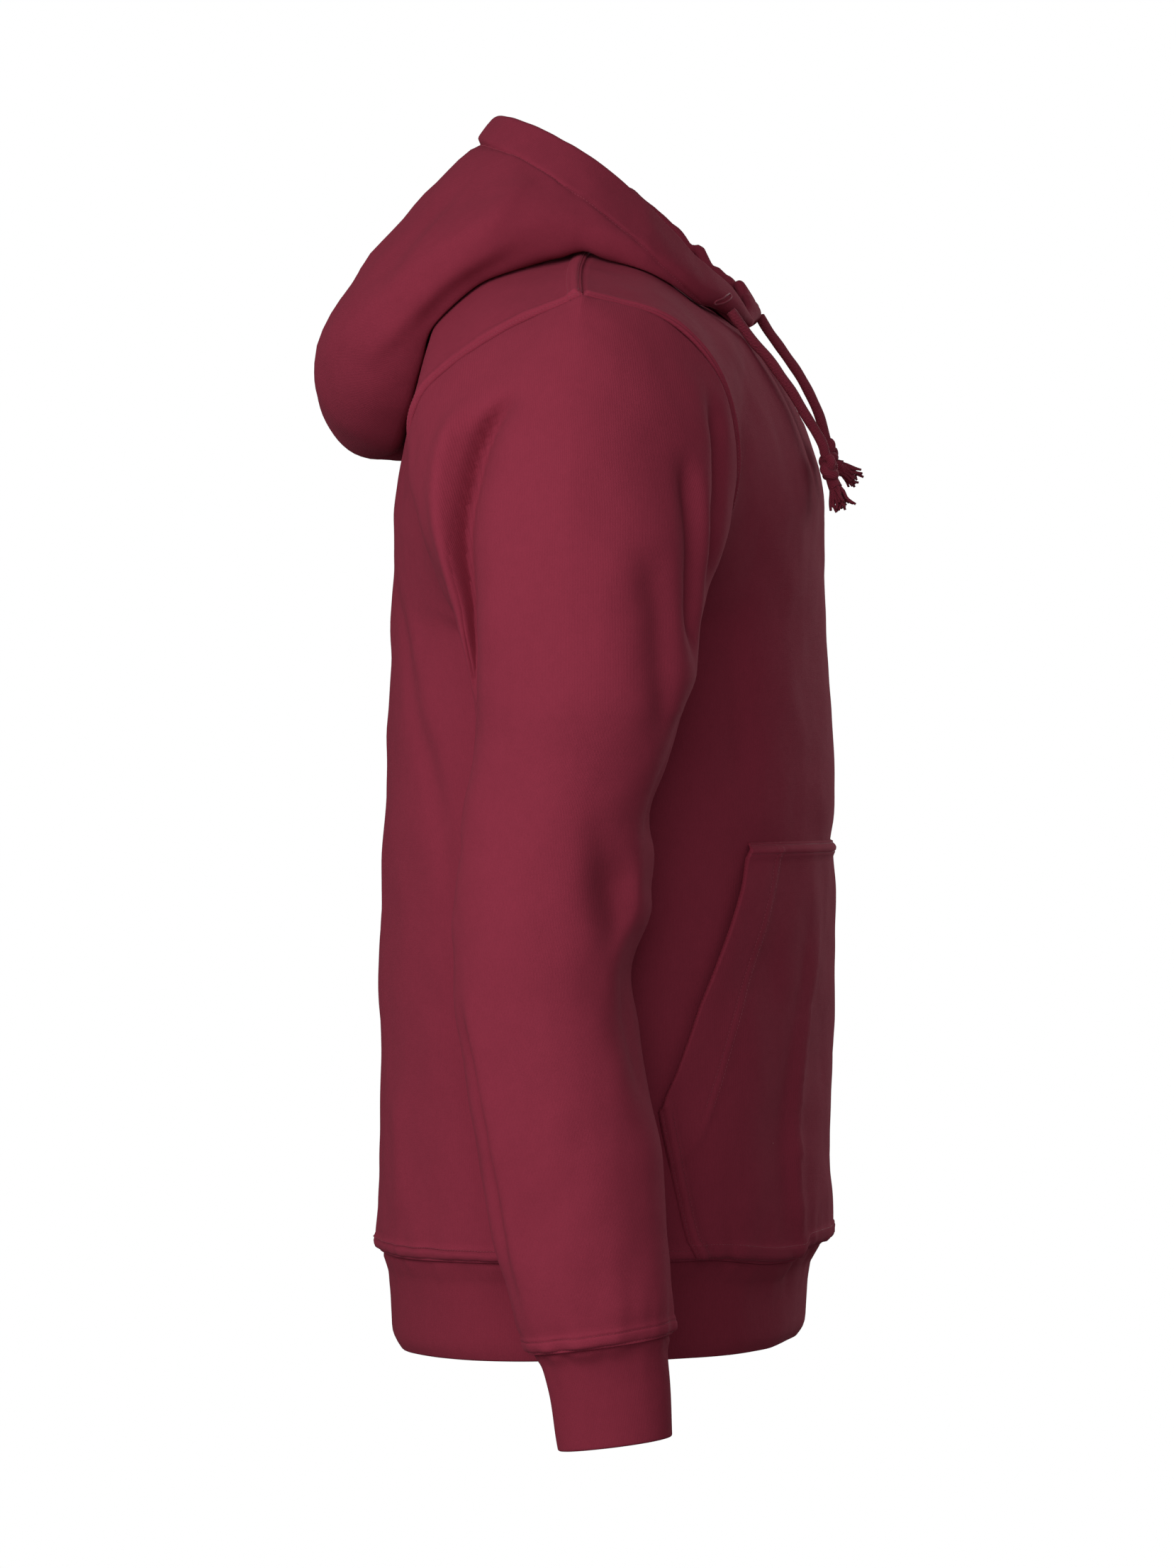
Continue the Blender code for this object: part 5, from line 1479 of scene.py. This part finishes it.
# %% Shader maths as expressions
class Shade:
    """A number, colour or vector in a material's nodes. Plain expressions on numbers add Math nodes."""

    def __init__(self, tree, socket=None):
        self.tree, self.socket = tree, socket

    def node(self, kind, settings, sockets, output=0):
        made = self.tree.nodes.new("ShaderNode" + kind)
        for name, value in settings.items():
            setattr(made, name, value)
        for name, value in sockets.items():
            if isinstance(value, Shade):
                self.tree.links.new(value.socket, made.inputs[name])
            else:
                made.inputs[name].default_value = value
        return Shade(self.tree, made.outputs[output])

    def math(self, operation, *values):
        return self.node("Math", {"operation": operation}, dict(enumerate(values)))

    def __add__(self, other):
        return self.math("ADD", self, other)

    def __sub__(self, other):
        return self.math("SUBTRACT", self, other)

    def __rsub__(self, other):
        return self.math("SUBTRACT", other, self)

    def __mul__(self, other):
        return self.math("MULTIPLY", self, other)

    def __truediv__(self, other):
        return self.math("DIVIDE", self, other)

    __radd__, __rmul__ = __add__, __mul__

    def wave(self):
        """From 0 to 1 and back, once for each unit."""
        return 0.5 - 0.5 * self.math("COSINE", self * (2 * pi))

    def between(self, low, high):
        """0 up to low, 1 from high on."""
        return self.node("MapRange", {"interpolation_type": "SMOOTHSTEP"}, {0: self, 1: low, 2: high})

    def noise(self, scale, detail, roughness=0.5):
        settings = {"Vector": self, "Scale": scale, "Detail": detail, "Roughness": roughness}
        return self.node("TexNoise", {}, settings)

    def bump(self, strength, distance):
        return self.node("Bump", {}, {"Strength": strength, "Distance": distance, "Height": self})


def blend(share, first, second):
    """One colour over another."""
    return share.node("Mix", {"data_type": "RGBA"}, {0: share, 6: first, 7: second}, 2)


def new_finish(name, roughness, sheen, sheen_tint, specular):
    """A material with the values that are the same all over it, and its tree to add to."""
    material = bpy.data.materials.new(name)
    material.use_nodes = True
    shader = material.node_tree.nodes["Principled BSDF"]
    shader.inputs["Roughness"].default_value = roughness
    shader.inputs["Specular IOR Level"].default_value = specular
    shader.inputs["Sheen Weight"].default_value = sheen
    shader.inputs["Sheen Roughness"].default_value = 0.45
    shader.inputs["Sheen Tint"].default_value = (*sheen_tint, 1.0)
    return material, shader, Shade(material.node_tree)


def colour(red, green, blue):
    return (red, green, blue, 1.0)


def lead_in(material, shader, tint, bump):
    """Lead a colour and a bump into a material's shader."""
    material.node_tree.links.new(tint.socket, shader.inputs["Base Color"])
    material.node_tree.links.new(bump.socket, shader.inputs["Normal"])
    return material


print("shader maths is ready")

# %% [markdown]
# The fleece is a fine jersey: columns of loops 0.9 mm apart, each loop a small V, 0.7 mm high. Its face is
# washed and rubbed, so a haze of fibre ends lies over the loops and catches light at the edges of a fold.
# The loops come from the UV map "cut", and the haze and the slow mottling from Object coordinates, so they
# run through the seams. A number kept with each point makes the raised threads of a seam paler, as worn
# cloth, and its grooves and rounded edges darker, which is painted shade.

# %% Fleece and rib
FLEECE_COLOUR = (0.222, 0.0240, 0.0460)
RIB_COLOUR = (0.205, 0.0215, 0.0410)
LINT = (0.62, 0.36, 0.38)


def knit_finish(name, base, wale, course, depth, fuzz):
    """Jersey or rib: wale is the spacing of its columns and course of its rows, in metres."""
    material, shader, start = new_finish(name, 0.95, 0.04, (1.0, 0.30, 0.40), 0.04)
    cut = start.node("UVMap", {"uv_map": "cut"}, {})
    across = start.node("SeparateXYZ", {}, {0: cut})
    along = start.node("SeparateXYZ", {}, {0: cut}, 1)
    place = start.node("TexCoord", {}, {}, 3)
    wander = place.noise(55.0, 1.0)
    column = across / wale + wander * 0.9
    rib = column.wave()
    slant = column.math("ABSOLUTE", column.math("FRACT", column) - 0.5)
    loops = (along / course + slant * 1.1 + wander * 1.3).wave()
    haze = place.noise(1150.0, 3.0, 0.65)
    mottle = place.noise(150.0, 3.0, 0.6)
    patches = place.noise(24.0, 2.0)
    # painted shade: grooves, sunk seams and rounded edges darken here; raised seam threads turn paler as worn
    # cloth
    worn_and_shaded = start.node("Attribute", {"attribute_name": "wear"}, {}, 2)
    stitch_shade = (rib * 0.6 + rib * loops * 0.4) * depth
    tone = (0.90 + stitch_shade * 0.16 + (haze - 0.5) * fuzz + (mottle - 0.5) * 0.16 + (patches - 0.5) * 0.10
            + (worn_and_shaded - 0.5) * 0.70)
    dark = colour(*(value * 0.55 for value in base))
    light = colour(*(value * 1.22 + 0.004 for value in base))
    surface_colour = blend((tone - 0.40) / 0.90, dark, light)
    fleck = start.node("TexVoronoi", {}, {"Vector": place, "Scale": 22.0})
    chance = start.node("TexVoronoi", {}, {"Vector": place, "Scale": 22.0}, 1)
    chosen = start.node("SeparateColor", {}, {0: chance}).between(0.45, 0.50)
    speck = (1 - fleck.between(0.004, 0.011)) * chosen * 0.55
    height = stitch_shade * 0.55 + haze * 0.75 * fuzz / 0.30 + mottle * 0.9
    return lead_in(material, shader, blend(speck, surface_colour, colour(*LINT)), height.bump(0.55, 0.00030))


fleece = knit_finish("brushed_fleece", FLEECE_COLOUR, 0.00090, 0.00072, 1.0, 0.34)
rib = knit_finish("rib_knit", RIB_COLOUR, 0.00125, 0.00070, 0.8, 0.26)
print("fleece has", len(fleece.node_tree.nodes), "nodes")

# %% [markdown]
# The cord is twisted, so ridges run round it at about 45 degrees. Their colour is painted: paler on each
# ridge, as painted highlight, and darker between them, as painted shade. Its UV map holds metres round and
# along the cord, and the pitch divides the way round evenly, so the ridges meet behind it. The thread of the
# seams is smoother than the cloth and a little paler, as polyester thread is.

# %% Cord and thread
CORD_COLOUR = (0.270, 0.0300, 0.0560)
THREAD_COLOUR = (0.250, 0.0330, 0.0580)
TWISTS = 16                # ridges that cross one turn of the cord

CORD_PITCH = 2 * pi * CORD_DIAMETER / 2 * 1.025 / TWISTS
# colour of the painted shadow disc in each buttonhole
SLIT_SHADOW_COLOUR = (0.020, 0.003, 0.006)


def shades(base, dark, light):
    """A darker and a lighter shade of a colour."""
    return (colour(*(value * part for value in base)) for part in (dark, light))


def twisted_cord():
    material, shader, start = new_finish("twisted_cord", 0.88, 0.06, (1.0, 0.60, 0.66), 0.15)
    cut = start.node("UVMap", {"uv_map": "cut"}, {})
    across, along = (start.node("SeparateXYZ", {}, {0: cut}, axis) for axis in (0, 1))
    ridge = (along / CORD_PITCH + across / CORD_PITCH).wave()
    fibres = start.node("TexCoord", {}, {}, 3).noise(1600.0, 3.0, 0.6)
    # paler on the twist's ridges and darker in its grooves: painted highlight and painted shade
    tone = 0.30 + ridge * 0.55 + (fibres - 0.5) * 0.5
    surface_colour = blend(tone, *shades(CORD_COLOUR, 0.48, 1.36))
    return lead_in(material, shader, surface_colour, (ridge + fibres * 0.35).bump(0.9, 0.00060))


def seam_thread():
    material, shader, start = new_finish("seam_thread", 0.65, 0.05, (1.0, 0.60, 0.66), 0.25)
    fibres = start.node("TexCoord", {}, {}, 3).noise(2600.0, 2.0)
    surface_colour = blend(fibres, *shades(THREAD_COLOUR, 0.70, 1.20))
    return lead_in(material, shader, surface_colour, fibres.bump(0.5, 0.00015))


def slit_shadow():
    material, shader = new_finish("slit_shadow", 1.0, 0.0, (1.0, 1.0, 1.0), 0.0)[:2]
    shader.inputs["Base Color"].default_value = colour(*SLIT_SHADOW_COLOUR)
    return material


print("cord ridges are", round(CORD_PITCH * 1000, 2), "mm apart")

# %% [markdown]
# Each piece gets its one finish. Fleece and rib pieces were made without a material, and joined pieces share
# the first one's slots, so the slots are cleared before the finish goes in.

# %% Give each piece its finish
def give(finish, made):
    for piece in made:
        piece.data.materials.clear()
        piece.data.materials.append(finish)


fleece_pieces = [pieces[key] for key in pieces if not key.startswith(("cuff", "hem"))]
rib_pieces = [pieces[key] for key in pieces if key.startswith(("cuff", "hem"))]
give(fleece, fleece_pieces)
give(rib, rib_pieces)
give(twisted_cord(), list(cords.values()) + list(knots.values()))
give(seam_thread(), list(stitching.values()) + list(lips.values()))
give(slit_shadow(), slit_shadows.values())
print(len(fleece_pieces), "pieces of fleece and", len(rib_pieces), "of rib")

# %% [markdown]
# ## Floor and light
# Nobody wears the garment, but it hangs at the height where somebody would wear it, over a pale round floor.
# Three broad soft lights shine on it: the key behind its right side and a little above it, one straight at
# that side, and one in front on its left, which draws the edges of the chest. All are white, and so is the
# even sky that fills the shade. Sky and floor look paler to the camera than to the cloth.

# %% Floor
FLOOR_HEIGHT = -1.42
FLOOR_RADIUS = 3.9
FLOOR_PLAIN = 2.0                     # beyond this far from the middle the floor fades into the sky
FLOOR_BOUNCE = (0.24, 0.24, 0.24)     # the floor's colour to the cloth, darker than to the camera

bpy.ops.object.select_all(action="DESELECT")
bpy.ops.mesh.primitive_circle_add(vertices=96, radius=FLOOR_RADIUS, fill_type="NGON",
                                  location=(0, 0, FLOOR_HEIGHT))
floor = bpy.context.active_object
floor.name = "studio_floor"
settle()
material, shader, start = new_finish("studio_floor", 0.9, 0.0, (1.0, 1.0, 1.0), 0.2)
place = start.node("TexCoord", {}, {}, 3)
grain = place.noise(2.2, 3.0)
seen = start.node("LightPath", {}, {})
pale = blend(seen, colour(*FLOOR_BOUNCE), blend(grain, colour(0.80, 0.80, 0.80), colour(0.86, 0.86, 0.86)))
material.node_tree.links.new(pale.socket, shader.inputs["Base Color"])
distance = start.node("VectorMath", {"operation": "LENGTH"}, {0: place}, 1)
glow = distance.between(FLOOR_PLAIN, FLOOR_RADIUS) * seen
white = start.node("Emission", {}, {"Color": colour(1, 1, 1)})
mixed = start.node("MixShader", {}, {0: glow, 1: Shade(material.node_tree, shader.outputs[0]), 2: white})
output = material.node_tree.nodes["Material Output"]
material.node_tree.links.new(mixed.socket, output.inputs["Surface"])
floor.data.materials.append(material)
print("floor at", FLOOR_HEIGHT, "m")

# %% Light
LIGHT_DISTANCE = 3.2
LIGHTS = {                 # degrees round, degrees up, side in metres, watts
    "key_light": (230, 24, 1.7, 43.0),
    "side_light": (267, 12, 2.2, 48.0),
    "far_light": (62, 15, 1.6, 46.0),
}
SKY_STRENGTH = 0.19


def soft_light(name, turn, up_angle, size, watts):
    """A square soft white light aimed at the garment's middle."""
    turn, up_angle = radians(turn), radians(up_angle)
    heading = Vector((sin(turn) * cos(up_angle), -cos(turn) * cos(up_angle), sin(up_angle)))
    bpy.ops.object.light_add(type="AREA", location=MIDDLE + heading * LIGHT_DISTANCE)
    light = bpy.context.active_object
    light.name = name
    light.rotation_euler = (-heading).to_track_quat("-Z", "Y").to_euler()
    light.data.size = size
    light.data.energy = watts


for name, values in LIGHTS.items():
    soft_light(name, *values)

world = bpy.context.scene.world or bpy.data.worlds.new("studio")
bpy.context.scene.world = world
world.use_nodes = True
start = Shade(world.node_tree)
for node in list(world.node_tree.nodes):
    world.node_tree.nodes.remove(node)
seen = start.node("LightPath", {}, {})
sky = start.node("Background", {}, {"Color": colour(1.0, 1.0, 1.0), "Strength": SKY_STRENGTH})
white = start.node("Background", {}, {"Color": colour(1, 1, 1), "Strength": 1.0})
both = start.node("MixShader", {}, {0: seen, 1: sky, 2: white})
end = world.node_tree.nodes.new("ShaderNodeOutputWorld")
world.node_tree.links.new(both.socket, end.inputs["Surface"])
bpy.context.scene.view_settings.view_transform = "Standard"

# %% [markdown]
# ## What each piece is
# Each new piece rides on the garment's one body and stands for the CAD nodes it covers.

# %% Rides and replacements
NODES = {"front": "front_body", "back": "back_body", "hem": "hem_band", "pocket": "pocket",
         "sleeve_right": "sleeve_right", "sleeve_left": "sleeve_left", "cuff_right": "cuff_right",
         "cuff_left": "cuff_left", "hood_right": "hood_right", "hood_left": "hood_left"}

for key, node in NODES.items():
    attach(pieces[key], "root")
    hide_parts(node)
for side in ("right", "left"):
    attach(cords[side], "root")
    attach(knots[side], "root")
    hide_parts("cord_" + side)
    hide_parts("knot_" + side)

for piece in (*stitching.values(), *lips.values(), *slit_shadows.values()):
    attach(piece, "root")
